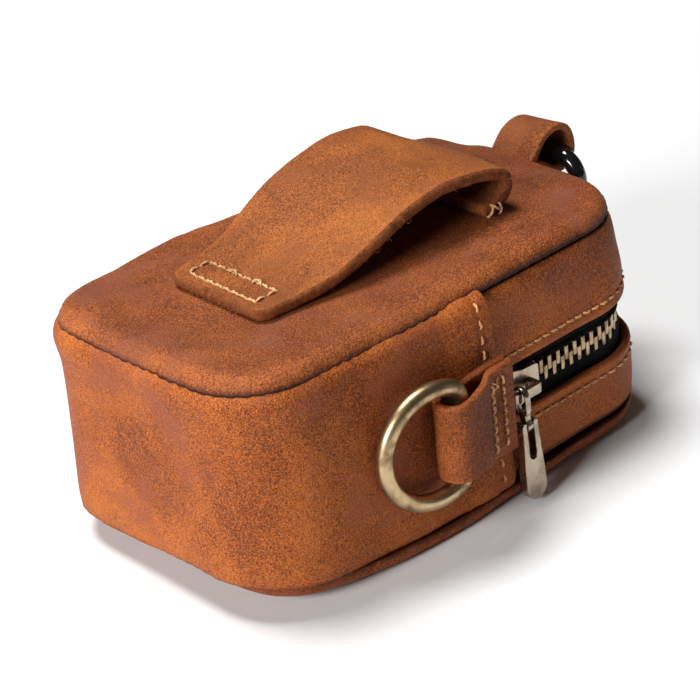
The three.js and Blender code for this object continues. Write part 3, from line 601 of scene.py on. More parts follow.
OUTLINE = Line(smooth_closed(rounded_outline(HALF_LENGTH, HALF_WIDTH, CORNER_RADIUS), 24), closed=True)
ROUND = OUTLINE.length
HALF_ROUND = ROUND / 2
FAR_CORNER, CLOSED_CORNER, OPEN_END = 212, 256, 80  # places along the outline


def outward(s):
    t = OUTLINE.tangent(s, 1.2)
    return np.stack([t[..., 1], -t[..., 0]], -1)


def apart(s, place):
    """How far s is from a place, the shorter way round."""
    return np.abs(np.mod(np.asarray(s, float) - place + HALF_ROUND, ROUND) - HALF_ROUND)


def drawn_in(s):
    return 1.8 * bell(apart(s, FAR_CORNER - 14), 12)


def lifted(s):
    """How far the lower seam is lifted round the closed end, and sags in the near wall."""
    sag = 1.5 * bell(apart(s, CLOSED_CORNER + 58), 22)
    return 3.1 * bell(apart(s, CLOSED_CORNER), 26) + 1.0 * bell(apart(s, FAR_CORNER), 24) - sag


def crowned(s):
    """The upper seam stands a little higher at the near corner of the closed end."""
    return 0.8 * bell(apart(s, CLOSED_CORNER + 18), 20)


def open_bulge(s, z):
    """How far the open end bulges below the zip; it stays flatter where the black ring swings in."""
    under_ring = smoothstep(apart(s, OPEN_END), 26, 12) * smoothstep(z, 27, 32)
    high = smoothstep(z, 46, 34) * (0.6 + 0.4 * smoothstep(z, 6, 22))
    return 1.9 * smoothstep(apart(s, OPEN_END), 50, 14) * high * (1 - 0.95 * under_ring)


def far_drop(x, y):
    """How far the top has sunk along the far wall and at the far corner of the zip end."""
    along = smoothstep(y, 14, 31) * (0.5 + 2.3 * smoothstep(x, -22, 10))
    end = 2.0 * smoothstep(x, 36, 54) * smoothstep(y, 5, 19)
    return np.maximum(along, end)


def flare(s):
    """The walls lean out less round the closed end's far corner."""
    return 1 - 0.42 * bell(apart(s, FAR_CORNER), 62)


def on_wall(s, out, z):
    """A point that stands out from the outline at s."""
    p, n = OUTLINE.at(s), outward(s)
    out = out - drawn_in(s) + open_bulge(s, z)
    top = crowned(s) - far_drop(p[..., 0], p[..., 1])
    z = z + lifted(s) * smoothstep(z, 26, 5) + top * smoothstep(z, 38, 50)
    return np.stack([p[..., 0] + n[..., 0] * out, p[..., 1] + n[..., 1] * out, z], -1)


# The walls' outer line from the back seam down to the front seam: how far out, and height
WALL_LINE = curve(
    [(out * WALL_BULGE, FRONT_SEAM_Z + up * SEAM_HEIGHT) for out, up in (
        (-0.24, 0.994), (0.06, 0.999), (0.34, 0.985), (0.6, 0.94), (0.7, 0.88), (0.7, 0.76), (0.76, 0.58),
        (0.88, 0.36), (0.98, 0.18), (1.02, 0.09), (0.99, 0.035), (0.86, -0.01), (0.62, -0.022))], 10)
WALL_LENGTH = WALL_LINE.length
WALL_PLACES = np.linspace(0, WALL_LENGTH, 800)
WALL_HEIGHTS = WALL_LINE.at(WALL_PLACES)[:, 1]
STEADY = slice(60, 740)  # places between the line's two turned ends, where the height only falls


def wall_length_at(z):
    """Length along the walls' outer line where it passes the height z."""
    return float(np.interp(-z, -WALL_HEIGHTS[STEADY], WALL_PLACES[STEADY]))


def wall_surface(s_of, start, depth):
    """A middle surface depth(a, b) inside the walls' outer line. b runs down from start, s_of places a."""

    def surf(a, b):
        p, t = WALL_LINE.at(start + b), WALL_LINE.tangent(start + b, 0.6)
        out, z = p[..., 0], p[..., 1]
        s = s_of(a, b, z)
        d = depth(a, b)
        upper = smoothstep(z, 49, 40)
        out = out * (1 - upper + upper * flare(s))
        return on_wall(s, out + t[..., 1] * d, z - t[..., 0] * d)

    return surf


SCALLOP_PITCH = 2.9


def scallops(a, from_seam, seed, amount=0.30):
    """Small bulges between the hidden stitches of a seam, uneven in size."""
    drift = 0.5 * row_noise(a, 9, seed)
    wave = np.abs(np.sin(math.pi * (a + drift) / SCALLOP_PITCH)) - 0.6
    uneven = 0.75 + 0.5 * row_noise(a, 6, seed + 1)
    return amount * wave * uneven * bell(from_seam, 1.5)


# Lower gusset: round the closed end, and over the strips' ends

gusset_round = HALF_ROUND + 2 * GUSSET_END_X
OVERLAP_STITCH = 3.5


def gusset_s(a, b, z):
    middle = (BACK_SEAM_Z + FRONT_SEAM_Z) / 2
    weight = np.clip(1 - from_ends(a, gusset_round) / (OVERLAP_LENGTH + LIFT_RUN), 0, 1)
    sign = np.where(a > gusset_round / 2, 1, -1)
    return HALF_ROUND - GUSSET_END_X + a + sign * weight * GUSSET_SLANT * (middle - z) / SEAM_HEIGHT


def gusset_depth(a, b):
    lift = LAYER_STEP * (1 - smoothstep((from_ends(a, gusset_round) - OVERLAP_LENGTH) / LIFT_RUN, 0, 1))
    return LEATHER / 2 - lift * (0.35 + 0.65 * smoothstep(from_ends(b, WALL_LENGTH), 0.2, 4))


def gusset_wear_and_shade(a, b, p, side):
    rim = bell(b - 2.2, 1.8) * 0.5 + bell(WALL_LENGTH - b - 3, 3) * 0.35
    # Painted shade: a deep dark band along both seams
    groove_shade = bell(b, 0.85) * 3.2 + bell(WALL_LENGTH - b, 0.8) * 2.4
    worn = 0.5 * bell(from_ends(a, gusset_round), 0.8)
    return rim + worn - groove_shade + 0.4 * smoothstep(value_noise(p, 14, 5), 0.1, 0.8)


def gusset_relief(a, b, p, side):
    """Puckers and bulges beside the seams, soft dents, and a furrow along each row of stitches."""
    near = bell(b, 3.2) + bell(WALL_LENGTH - b, 3.2)
    h = near * 0.16 * value_noise(p * [1, 1, 0.35], 3.4, 11)
    h = h + scallops(a, b, 14) + scallops(a, WALL_LENGTH - b, 15, 0.2)
    h = h + 0.30 * value_noise(p, 21, 12) + 0.12 * value_noise(p, 8.5, 13)
    for place in (OVERLAP_STITCH, gusset_round - OVERLAP_STITCH):
        h = h - 0.20 * bell(a - place, 0.8) + 0.07 * bell(np.abs(a - place) - 1.5, 0.7)
    return h * (1 if side > 0 else 0.4)


lower_surf = wall_surface(gusset_s, 0.0, gusset_depth)
layer("lower_gusset_leather", lower_surf, (gusset_round, WALL_LENGTH), LEATHER, (0.72, 1.0), BODY_LEATHER,
      "lower_gusset", gusset_wear_and_shade, gusset_relief, 0.8)


# The two strips beside the zip, round the open end

strip_round = HALF_ROUND - 2 * STRIP_START_X
STRIP_STITCH = 2.7


def strip_piece(name, start, end, seam_first, seed):
    """A strip from start to end down the wall; its seam is at the start, or at the end."""
    length = end - start
    stitch_b = length - STRIP_STITCH if seam_first else STRIP_STITCH
    surf = wall_surface(lambda a, b, z: STRIP_START_X + a, start, lambda a, b: LAYER_STEP + LEATHER / 2)

    def wear_and_shade(a, b, p, side):
        seam, window = (b, length - b) if seam_first else (length - b, b)
        rim = bell(seam - 2.2, 1.8) * 0.45 + bell(window - 0.6, 0.9) * 0.5
        # The seam's groove is darkened as painted shade; the rims are lighter rubbed wear
        return rim - bell(seam, 0.85) * 3.2 + 0.35 * smoothstep(value_noise(p, 12, seed), 0.1, 0.8)

    def relief(a, b, p, side):
        seam, window = (b, length - b) if seam_first else (length - b, b)
        h = bell(seam, 3) * 0.14 * value_noise(p * [1, 1, 0.35], 3.2, seed) + scallops(a, seam, seed + 3)
        h = h + 0.22 * value_noise(p, 19, seed + 1) + 0.10 * value_noise(p, 7.5, seed + 2)
        h = h - 0.22 * bell(b - stitch_b, 0.8) + 0.10 * bell(window - 0.9, 1.0)
        return h * (1 if side > 0 else 0.3)

    layer(name + "_leather", surf, (strip_round, length), LEATHER, (0.72, 0.9), BODY_LEATHER, name,
          wear_and_shade, relief, 0.8)
    return surf, stitch_b, relief


window_top = wall_length_at(ZIP_Z + ZIP_WINDOW / 2)
window_low = wall_length_at(ZIP_Z - ZIP_WINDOW / 2)
back_strip = strip_piece("zip_gusset_back", 0.0, window_top, True, 21)
front_strip = strip_piece("zip_gusset_front", window_low, WALL_LENGTH, False, 31)


# Panels


def panel_centre(p):
    """Where the outline point p is drawn to in the panel's middle."""
    reach = HALF_LENGTH - HALF_WIDTH
    x = np.clip(p[..., 0] / (HALF_LENGTH - CORNER_RADIUS), -1, 1) * reach
    return np.stack([x, np.zeros_like(x)], -1)


FLOOR_CLEARANCE = 0.12


def panel_surface(profile, grow, rise):
    """profile gives inset and height by length from the rim. grow widens the rim, rise lifts it."""

    def surf(a, b):
        q = profile.at(b)
        inset = q[..., :1]
        p = OUTLINE.at(a) + outward(a) * (grow(a) - drawn_in(a))[..., None]
        # Near the rim the inset is taken square to the outline, further in towards the middle
        direct = p - outward(a) * inset
        drawn = p + (panel_centre(OUTLINE.at(a)) - p) * (inset / HALF_WIDTH)
        blend = smoothstep(inset, 4, 14)
        xy = direct * (1 - blend) + drawn * blend
        z = np.maximum(q[..., 1:] + rise(a, b, xy)[..., None], LEATHER / 2 + FLOOR_CLEARANCE)
        return np.concatenate([xy, z], -1)

    return surf


BACK_PROFILE = curve([
    (-0.1, BACK_SEAM_Z - 1.0), (0.0, BACK_SEAM_Z + 0.2), (0.55, BACK_SEAM_Z + 1.25),
    (2.0, BACK_SEAM_Z + 2.15), (4.4, BACK_TOP_Z - 1.05), (7.5, BACK_TOP_Z - 0.93), (12, BACK_TOP_Z - 0.9),
    (22, BACK_TOP_Z - 0.9), (HALF_WIDTH, BACK_TOP_Z - 0.9)], 10)


def back_rise(a, b, xy):
    return crowned(a) * smoothstep(b, 12, 2) - far_drop(xy[..., 0], xy[..., 1])


def back_wear_and_shade(a, b, p, side):
    rim = bell(b - 2.6, 1.7) * 0.7
    # The seam's groove is darkened as painted shade, and the whole panel is a little darker
    return rim - bell(b, 0.75) * 3.2 - 0.10 + 0.35 * smoothstep(value_noise(p, 16, 41), 0.2, 0.9)


def back_relief(a, b, p, side):
    h = bell(b - 2, 3.4) * 0.15 * value_noise(p, 3.4, 42) + scallops(a, np.maximum(b - 0.5, 0), 45, 0.34)
    return h + smoothstep(b, 2, 12) * (0.34 * value_noise(p, 24, 43) + 0.10 * value_noise(p, 9, 44) - 0.2)


back_surf = panel_surface(BACK_PROFILE, lambda a: 0 * a, back_rise)
layer("back_panel_leather", back_surf, (ROUND, BACK_PROFILE.length), LEATHER, (0.72, 1.0), TOP_LEATHER,
      "back_panel", back_wear_and_shade, back_relief, 0.6, out=1, closed=True)

FRONT_OUT = WALL_LINE.at(WALL_LENGTH)[0]
FRONT_PROFILE = curve([
    (0.9, FRONT_SEAM_Z - 1.0), (0.75, FRONT_SEAM_Z - 1.9), (1.3, FRONT_SEAM_Z - 3.0),
    (2.9, FRONT_SEAM_Z - 4.0), (5.6, 1.25), (9, 0.95), (14, 0.92), (24, 0.92), (HALF_WIDTH, 0.92)], 10)


def front_grow(s):
    tuck = 3.1 * bell(apart(s, CLOSED_CORNER + 7), 28) + 1.6 * bell(apart(s, FAR_CORNER), 30)
    grown = (FRONT_OUT + 0.9) * flare(s) - tuck + open_bulge(s, 6.0)
    return grown + 1.4 * bell(apart(s, -12), 34) - 1.1 * bell(apart(s, 58), 16)


def front_rise(a, b, xy):
    return lifted(a) * smoothstep(b, 15, 3)


def front_wear_and_shade(a, b, p, side):
    # The seam by the floor is darkened as painted shade; the rim above it is lighter wear
    return bell(b - 2.5, 2) * 0.5 - bell(b, 1.2) * 1.2


def front_relief(a, b, p, side):
    h = bell(b - 2, 3.0) * 0.12 * value_noise(p, 3.4, 52) + bell(b - 4, 4) * 0.15 * value_noise(p, 15, 53)
    h = h + scallops(a, np.maximum(b - 0.5, 0), 55, 0.2)
    return h * smoothstep(b, 14, 6)


front_surf = panel_surface(FRONT_PROFILE, front_grow, front_rise)
layer("front_panel_leather", front_surf, (ROUND, FRONT_PROFILE.length), LEATHER, (0.8, 1.2), BODY_LEATHER,
      "front_panel", front_wear_and_shade, front_relief, 0.6, closed=True)


# Zip

TAPE_INNER, TAPE_EDGE = 1.0, 0.25
TOOTH_SIZE, TOOTH_FLARE, TOOTH_BEVEL = (1.02, 2.3, 3.3), 1.12, 0.26
TOOTH_OUT, TOOTH_UP = 0.25, 0.92
CORD_UP, CORD_RADIUS, CORD_FLAT = 2.35, 0.62, 1.25
chain_round = HALF_ROUND - CHAIN_START_X - GUSSET_END_X
tape_width = ZIP_WINDOW / 2 + TAPE_UNDER - TAPE_INNER


def tape_surface(sign):
    def surf(a, b):
        up = TAPE_INNER + b
        out = TAPE_OUT - TAPE_THICK / 2 + TAPE_LEAN * sign * up
        return on_wall(STRIP_START_X + a, out, ZIP_Z + sign * up)

    return surf


def tape_relief(a, b, p, side):
    return 0.25 * bell(b - 1.2, 0.7) * (1 if side > 0 else 0)


def tooth_shape():
    """One tooth, round-edged: across the tape by Z, along the chain by X, out by Y."""
    bm = bmesh.new()
    bmesh.ops.create_cube(bm, size=1.0)
    for v in bm.verts:
        v.co.x *= TOOTH_SIZE[0]
        v.co.y *= TOOTH_SIZE[1]
        v.co.z *= TOOTH_SIZE[2]
        if v.co.z > 0:
            v.co.x *= TOOTH_FLARE
    bmesh.ops.bevel(bm, geom=bm.edges[:], offset=TOOTH_BEVEL, segments=2, profile=0.6, affect="EDGES")
    points = np.array([v.co[:] for v in bm.verts])
    faces = [[v.index for v in f.verts] for f in bm.faces]
    bm.free()
    return points, faces


tooth_points, tooth_faces = tooth_shape()
for sign, node in ((1, "zip_tape_back"), (-1, "zip_tape_front")):
    layer(node + "_cloth", tape_surface(sign), (strip_round, tape_width), TAPE_THICK, (2.0, 0.9), TAPE, node,
          lambda a, b, p, side: 0.0, tape_relief, TAPE_EDGE, out=sign, slot="zip_tape")

for sign, node in ((1, "zip_chain_back"), (-1, "zip_chain_front")):
    first = TOOTH_PITCH * (1 if sign > 0 else 2) / 2
    count = int((chain_round - first - TOOTH_PITCH / 2) / TOOTH_PITCH) + 1
    parts = []
    for i in range(count):
        s = CHAIN_START_X + first + i * TOOTH_PITCH
        base, n = OUTLINE.at(s), outward(s)
        along = np.array([-n[1], n[0]])
        q = tooth_points * [1, 1, -sign]
        xy = base + n * (CHAIN_OUT + TOOTH_OUT + q[:, 1:2]) + along * q[:, 0:1]
        z = ZIP_Z + sign * TOOTH_UP + q[:, 2]
        parts.append((np.column_stack([xy, z]), tooth_faces))
    add_piece(node + "_teeth", parts, TOOTH, "bag", "antique_brass", [node])
    s = np.arange(CHAIN_START_X, CHAIN_START_X + chain_round, 1.0)
    cord = on_wall(s, np.full_like(s, CHAIN_OUT), np.full_like(s, ZIP_Z + sign * CORD_UP))
    tube = tube_parts(cord, CORD_RADIUS, 10, flat=CORD_FLAT)
    add_piece(node + "_cord", [tube], TAPE, "bag", "zip_tape", uv=np.zeros((len(tube[0]), 2)))


# Solid metal pieces


def slab(outline, low, high, to_bag, bevel=0.25, segments=2):
    """Points and faces of an outline extruded from low to high, with every edge rounded."""
    bm = bmesh.new()
    floor = [bm.verts.new((x, y, low)) for x, y in outline]
    face = bm.faces.new(floor)
    made = bmesh.ops.extrude_face_region(bm, geom=[face])
    for v in made["geom"]:
        if isinstance(v, bmesh.types.BMVert):
            v.co.z = high
    bmesh.ops.recalc_face_normals(bm, faces=bm.faces)
    sharp = [e for e in bm.edges if e.calc_face_angle(0) > 0.35]
    bmesh.ops.bevel(bm, geom=sharp, offset=bevel, segments=segments, profile=0.6, affect="EDGES",
                    clamp_overlap=True)
    points = np.array([to_bag(*v.co) for v in bm.verts], float)
    faces = [[v.index for v in f.verts] for f in bm.faces]
    bm.free()
    return points, faces


def upright(x, z, depth):
    return (x, -depth, z)


def circle(cx, cy, r, start, end, count=12):
    return [(cx + r * math.cos(t), cy + r * math.sin(t)) for t in np.linspace(start, end, count)]


def flipped(points, x=1, y=1):
    """The points in the other order, mirrored in x or y where that is -1."""
    return [(x * p, y * q) for p, q in points[::-1]]


def flat_shade(obj, angle=0.6):
    """Keeps flat faces flat on a piece with rounded edges."""
    bm = bmesh.new()
    bm.from_mesh(obj.data)
    for e in bm.edges:
        e.smooth = e.calc_face_angle(0) < angle
    bm.to_mesh(obj.data)
    bm.free()


# Slider

CHAIN_DEPTH = HALF_WIDTH + CHAIN_OUT
PLATE_THICK = 1.2
PLATE_INNER = CHAIN_DEPTH + TOOTH_THICK / 2 + GAP
PLATE_OUTER = PLATE_INNER + PLATE_THICK
SLIDER_X, SLIDER_LENGTH, SLIDER_MOUTH, SLIDER_TAIL = 9.6, 11.0, 9.6, 7.4
CROWN_X, CROWN_LENGTH, CROWN_HEIGHT = 10.2, 8.0, 2.4
PIVOT = JOINTS["link_swing"]
PIN = JOINTS["pull_swing"]
BAR_DEPTH = -PIVOT[1]
LINK_SWING, PULL_LEAN = 0.18, 0.05

tail_x, shoulder_x = SLIDER_X + SLIDER_LENGTH, SLIDER_X + 0.45 * SLIDER_LENGTH
half_plate = [
    (SLIDER_X, -0.36 * SLIDER_MOUTH), (SLIDER_X + 0.5, -0.44 * SLIDER_MOUTH),
    (SLIDER_X + 1.5, -SLIDER_MOUTH / 2), (shoulder_x - 1, -0.47 * SLIDER_MOUTH),
    (shoulder_x + 1.2, -0.53 * SLIDER_TAIL), (tail_x - 0.6, -SLIDER_TAIL / 2), (tail_x, -0.42 * SLIDER_TAIL)]
plate = [(x, ZIP_Z + z) for x, z in half_plate + flipped(half_plate, y=-1)]
back_depth = 2 * CHAIN_DEPTH - PLATE_OUTER
slider_parts = [
    slab(plate, PLATE_INNER, PLATE_OUTER, upright, 0.35, 3),
    slab(plate, back_depth, back_depth + PLATE_THICK, upright, 0.3),
]
for side in (1, -1):
    rail = [(shoulder_x, side * (SLIDER_TAIL / 2 - 0.75)), (tail_x - 0.3, side * (SLIDER_TAIL / 2 - 0.75)),
            (tail_x - 0.3, side * SLIDER_TAIL / 2), (shoulder_x, side * (SLIDER_TAIL / 2 + 0.1))]
    rail = [(x, ZIP_Z + z) for x, z in rail[:: side]]
    slider_parts.append(slab(rail, PLATE_INNER - 1.1, PLATE_INNER + 0.3, upright, 0.2))
post = [(SLIDER_X + x, ZIP_Z + z) for x, z in ((0.6, -1), (3, -1), (3, 1), (0.6, 1))]
slider_parts.append(slab(post, back_depth + 1, PLATE_INNER + 0.1, upright, 0.2))
bridge_top, bridge_low = BAR_DEPTH + 0.6, PLATE_OUTER - 0.2
end_x = CROWN_X + CROWN_LENGTH
bridge = [(CROWN_X, bridge_low), (CROWN_X + 0.05, bridge_top - 1.1)]
bridge += circle(CROWN_X + 1.1, bridge_top - 1.1, 1.1, math.pi, math.pi / 2, 6)[1:]
bridge += circle(end_x - 0.8, bridge_top - 0.8, 0.8, math.pi / 2, 0, 6)
bridge += [(end_x, bridge_low), (end_x - 1.1, bridge_low), (end_x - 1.1, bridge_top - 1.2),
           (CROWN_X + 1.15, bridge_top - 1.2), (CROWN_X + 1.1, bridge_low)]
slider_parts.append(slab(bridge, ZIP_Z - CROWN_HEIGHT / 2, ZIP_Z + CROWN_HEIGHT / 2,
                         lambda x, d, z: (x, -d, z), 0.28, 3))
flat_shade(add_piece("slider_body", slider_parts, STEEL, "bag", "antique_brass", ["zip_slider"]))


# Link and pull, drawn hanging straight down from their pivots and then leaned out


def leaned(parts, pivot, angle):
    c, s = math.cos(angle), math.sin(angle)
    return [(np.column_stack([p[:, 0], p[:, 1] * c + p[:, 2] * s, -p[:, 1] * s + p[:, 2] * c]) + pivot, faces)
            for p, faces in parts]


ring_path = circle(0, 0.05, 1.9, 0, math.pi, 17) + circle(0, -2.6, 1.45, math.pi, 2 * math.pi, 13)
loop_part = tube_parts([(0, y, z) for y, z in ring_path], 0.46, 14, closed=True, flat=1.7, up=(1, 0, 0))
neck_side = [(-0.95, -3.4), (-0.85, -5.2)]
neck = neck_side + circle(0, -6.4, 1.3, math.pi * 0.86, math.pi * 2.14, 12) + flipped(neck_side, x=-1)
link = leaned([loop_part, slab(neck, -0.78, 0.78, lambda y, z, x: (x, y, z), 0.2)], PIVOT, LINK_SWING)
flat_shade(add_piece("link_body", link, STEEL, "link", "antique_brass", ["pull_link"]), 0.7)

PULL_HALF, SLOT_HALF, TOP_HALF, PULL_BELOW_PIN = 2.9, 1.02, 2.2, 16.8
slot_side = [(SLOT_HALF, 1.0), (SLOT_HALF, -6.4)]
outer_side = [(-SLOT_HALF - 0.35, 1.25), (-TOP_HALF + 0.35, 1.2), (-TOP_HALF, 0.7), (-TOP_HALF - 0.02, -1.5),
              (-2.42, -5.5), (-2.72, -9.0)]
outline = slot_side + circle(0, -6.5, SLOT_HALF, 0, -math.pi, 9)[1:-1] + flipped(slot_side, x=-1)
outline += outer_side + circle(0, PULL_HALF - PULL_BELOW_PIN, PULL_HALF, math.pi * 0.94, math.pi * 2.06, 19)
outline += flipped(outer_side, x=-1)
pin_line = [(x, 0, 0) for x in (-2.12, -2.0, 2.0, 2.12)]
pull = [slab(outline, -1.1, 1.1, upright, 0.32, 3), tube_parts(pin_line, [0.42, 0.52, 0.52, 0.42], 16)]
pull = leaned(pull, PIN, PULL_LEAN)
flat_shade(add_piece("pull_body", pull, STEEL, "pull", "antique_brass", ["zip_pull"]), 0.7)
RIM_RADIUS, RIM_WIRE = 0.78, 0.13
rim = circle(0, 0, RIM_RADIUS, 0, 2 * math.pi, 21)[:-1]
rims = [tube_parts([(x, y, z) for y, z in rim], RIM_WIRE, 8, closed=True, up=(1, 0, 0))
        for x in (-TOP_HALF, TOP_HALF)]
add_piece("pull_pin_rims", leaned(rims, PIN, PULL_LEAN), BLACK, "pull", "antique_brass")


# Rings

RING_WIRE, RING_ARC, RING_BAR_OFFSET, RING_CORNER = 3.7, 12.35, 7.1, 2.4
TAB_THICK, TAB_Z, TAB_RIGHT_X, TAB_BASE_LENGTH = 1.8, 26.2, 7.4, 7.4
TAB_BASE_WIDTH, TAB_FOLD_WIDTH, FOLD_SLACK, FOLD_RUN = 20.6, 17.5, 1.7, 1.5
bar_x, bar_depth = JOINTS["brass_ring_swing"][0], -JOINTS["brass_ring_swing"][1]
FOLD_PLAY = 0.75
tab_turn = RING_WIRE / 2 + FOLD_PLAY + TAB_THICK / 2
fold_depth = bar_depth - tab_turn
wall_depth = fold_depth - GAP - TAB_THICK / 2
base_depth = wall_depth + LAYER_STEP + GAP + TAB_THICK / 2


def bezier(a, b, c, count):
    t = np.linspace(0, 1, count)[:, None]
    return (1 - t) ** 2 * np.array(a) + 2 * t * (1 - t) * np.array(b) + t**2 * np.array(c)


def d_ring_points():
    half = math.sqrt(RING_ARC**2 - RING_BAR_OFFSET**2)
    opening = math.asin(half / RING_ARC) + 0.2
    arc = np.array(circle(-RING_BAR_OFFSET, 0, RING_ARC, opening, 2 * math.pi - opening, 90))
    low = bezier(arc[-1], (0, -half), (0, -half + RING_CORNER), 12)[1:]
    bar = np.linspace([0, -half + RING_CORNER], [0, half - RING_CORNER], 12)[1:-1]
    high = bezier((0, half - RING_CORNER), (0, half), arc[0], 12)[:-1]
    return smooth_closed(np.vstack([arc, low, bar, high]), 6)


ring_swing = math.asin((bar_depth - (wall_depth + GAP + RING_WIRE / 2)) / (RING_BAR_OFFSET + RING_ARC))
flat_ring = d_ring_points()
x, y = flat_ring[:, 0], flat_ring[:, 1]
line = np.column_stack([bar_x + x * math.cos(ring_swing), -bar_depth - x * math.sin(ring_swing), TAB_Z + y])
normal = (math.sin(ring_swing), -math.cos(ring_swing), 0)
ring = tube_parts(line, RING_WIRE / 2, 28, closed=True, up=normal)
add_piece("brass_d_ring", [ring], BRASS, "brass_ring", "antique_brass", ["d_ring_near"])

END_RING_WIRE, END_RING_WIDTH, END_RING_HEIGHT, END_CORNER = 3.8, 20.4, 17.0, 5.0
end_bar = JOINTS["black_ring_swing"]
half, foot = END_RING_WIDTH / 2, END_RING_HEIGHT - END_RING_WIDTH / 2
path = circle(half - END_CORNER, -END_CORNER, END_CORNER, math.pi / 2, 0, 14)
path += circle(0, -foot, half, 0, -math.pi, 50)
path += circle(-half + END_CORNER, -END_CORNER, END_CORNER, math.pi, math.pi / 2, 14)
path += [(y, 0) for y in np.linspace(-half + END_CORNER, half - END_CORNER, 12)[1:-1]]
path = smooth_closed(np.array(path), 5)
line = np.column_stack([np.full(len(path), end_bar[0]), path[:, 0], end_bar[2] + path[:, 1]])
ring = tube_parts(line, END_RING_WIRE / 2, 26, closed=True, up=(1, 0, 0))
add_piece("black_d_ring", [ring], BLACK, "black_ring", "black_metal", ["d_ring_end"])


# Tabs and the belt loop

base_left = TAB_RIGHT_X - TAB_BASE_LENGTH
base_middle = (TAB_RIGHT_X + base_left) / 2
outer_depth = base_depth + TAB_THICK + GAP
tab_curve = curve(
    [(TAB_RIGHT_X, base_depth), (base_middle, base_depth), (base_left, base_depth)]
    + circle(bar_x - FOLD_SLACK, bar_depth, tab_turn, -math.pi / 2, -3 * math.pi / 2 + 0.35, 9)
    + [(base_left - FOLD_RUN, outer_depth + 0.45 * RING_WIRE), (base_left + FOLD_RUN, outer_depth),
       (base_middle + FOLD_RUN / 2, outer_depth), (TAB_RIGHT_X, outer_depth)], 12)


def tab_surface(a, b):
    share = a / tab_curve.length
    end = smoothstep(np.abs(2 * share - 1), 0.3, 0.8)
    width = TAB_FOLD_WIDTH + (TAB_BASE_WIDTH - TAB_FOLD_WIDTH) * end
    q = tab_curve.at(a)
    across = (b / TAB_BASE_WIDTH - 0.5) * width
    return np.stack([q[..., 0], -q[..., 1], TAB_Z - across], -1)


TAB_ROWS = (3.3, 8.2)


def tab_relief(a, b, p, side):
    end = tab_curve.length
    rows = bell(a - (end - TAB_ROWS[0]), 0.8) + 2.2 * bell(a - (end - TAB_ROWS[1]), 1.2)
    h = -0.18 * rows + 0.2 * value_noise(p, 7, 61) + 0.09 * value_noise(p, 3, 62)
    return h * (1 if side > 0 else 0.3)


def tab_wear(a, b, p, side):
    fold = bell(a / tab_curve.length - 0.5, 0.16)
    stain = 0.4 * smoothstep(value_noise(p, 8, 63), 0.0, 0.8)
    return 0.45 * bell(from_ends(b, TAB_BASE_WIDTH), 1.2) + 0.6 * fold + stain


layer("tab_near_leather", tab_surface, (tab_curve.length, TAB_BASE_WIDTH), TAB_THICK, (0.8, 0.8), SHADED_TAB_LEATHER,
      "tab_near", tab_wear, tab_relief, 0.7)

END_TAB_WIDTH, END_TAB_THICK = 14.0, 1.6
root_x, root_z = HALF_LENGTH + GAP, BACK_SEAM_Z + 2 * GAP + END_TAB_THICK / 2
END_TAB_ARC = [
    (-1.2, 0.1), (0.3, 1.8), (2.2, 3.6), (4.8, 4.7), (7.7, 4.8), (10.2, 3.6), (11.3, 1.2), (10.9, -1.8),
    (8.2, -3.8), (4.6, -2.9), (2.2, -1.0), (0.0, 0.0)]
end_curve = curve([(root_x + x, root_z + z) for x, z in END_TAB_ARC], 12)


def end_surface(a, b):
    q = end_curve.at(a)
    # The near side stands a little higher than the far side
    raised = 1.3 * b / END_TAB_WIDTH * smoothstep(q[..., 1] - root_z, 0.5, 5.5)
    return np.stack([q[..., 0], END_TAB_WIDTH / 2 - b * 0.9, q[..., 1] + raised], -1)


def end_wear(a, b, p, side):
    return 0.5 * bell(from_ends(b, END_TAB_WIDTH), 1.1) + 0.3 * value_noise(p, 6, 71)


def end_relief(a, b, p, side):
    return 0.10 * value_noise(p, 5, 72)


layer("tab_end_leather", end_surface, (end_curve.length, END_TAB_WIDTH), END_TAB_THICK, (0.7, 0.8),
      LOOP_LEATHER, "tab_end", end_wear, end_relief, 0.6)

LOOP_THICK, LOOP_START_X, LOOP_LENGTH, LOOP_RISE = 2.8, -33.6, 68.2, 12.8
LOOP_END_WIDTH, LOOP_WIDTH, LOOP_CORNER, LOOP_Y = 29.4, 35.8, 4.0, -1.0
LOOP_SHARES = [
    (0, 0), (0.07, 0), (0.14, 0.015), (0.24, 0.11), (0.36, 0.38), (0.48, 0.68), (0.6, 0.91), (0.71, 1),
    (0.82, 0.93), (0.92, 0.76), (0.972, 0.58), (0.979, 0.34), (0.955, 0.12), (0.91, 0.012), (0.89, 0),
    (0.865, 0)]
loop_base = BACK_TOP_Z + GAP + LOOP_THICK / 2
loop_rise = LOOP_RISE - LOOP_THICK - GAP
loop_curve = curve([(LOOP_START_X + x * LOOP_LENGTH, loop_base + z * loop_rise) for x, z in LOOP_SHARES], 20)


def loop_width(a):
    grown = LOOP_END_WIDTH + (LOOP_WIDTH - LOOP_END_WIDTH) * smoothstep(a / loop_curve.length, 0.04, 0.34)
    past = np.clip(LOOP_CORNER - a, 0, LOOP_CORNER)
    return grown - 2 * (LOOP_CORNER - np.sqrt(np.maximum(LOOP_CORNER**2 - past**2, 0.3)))


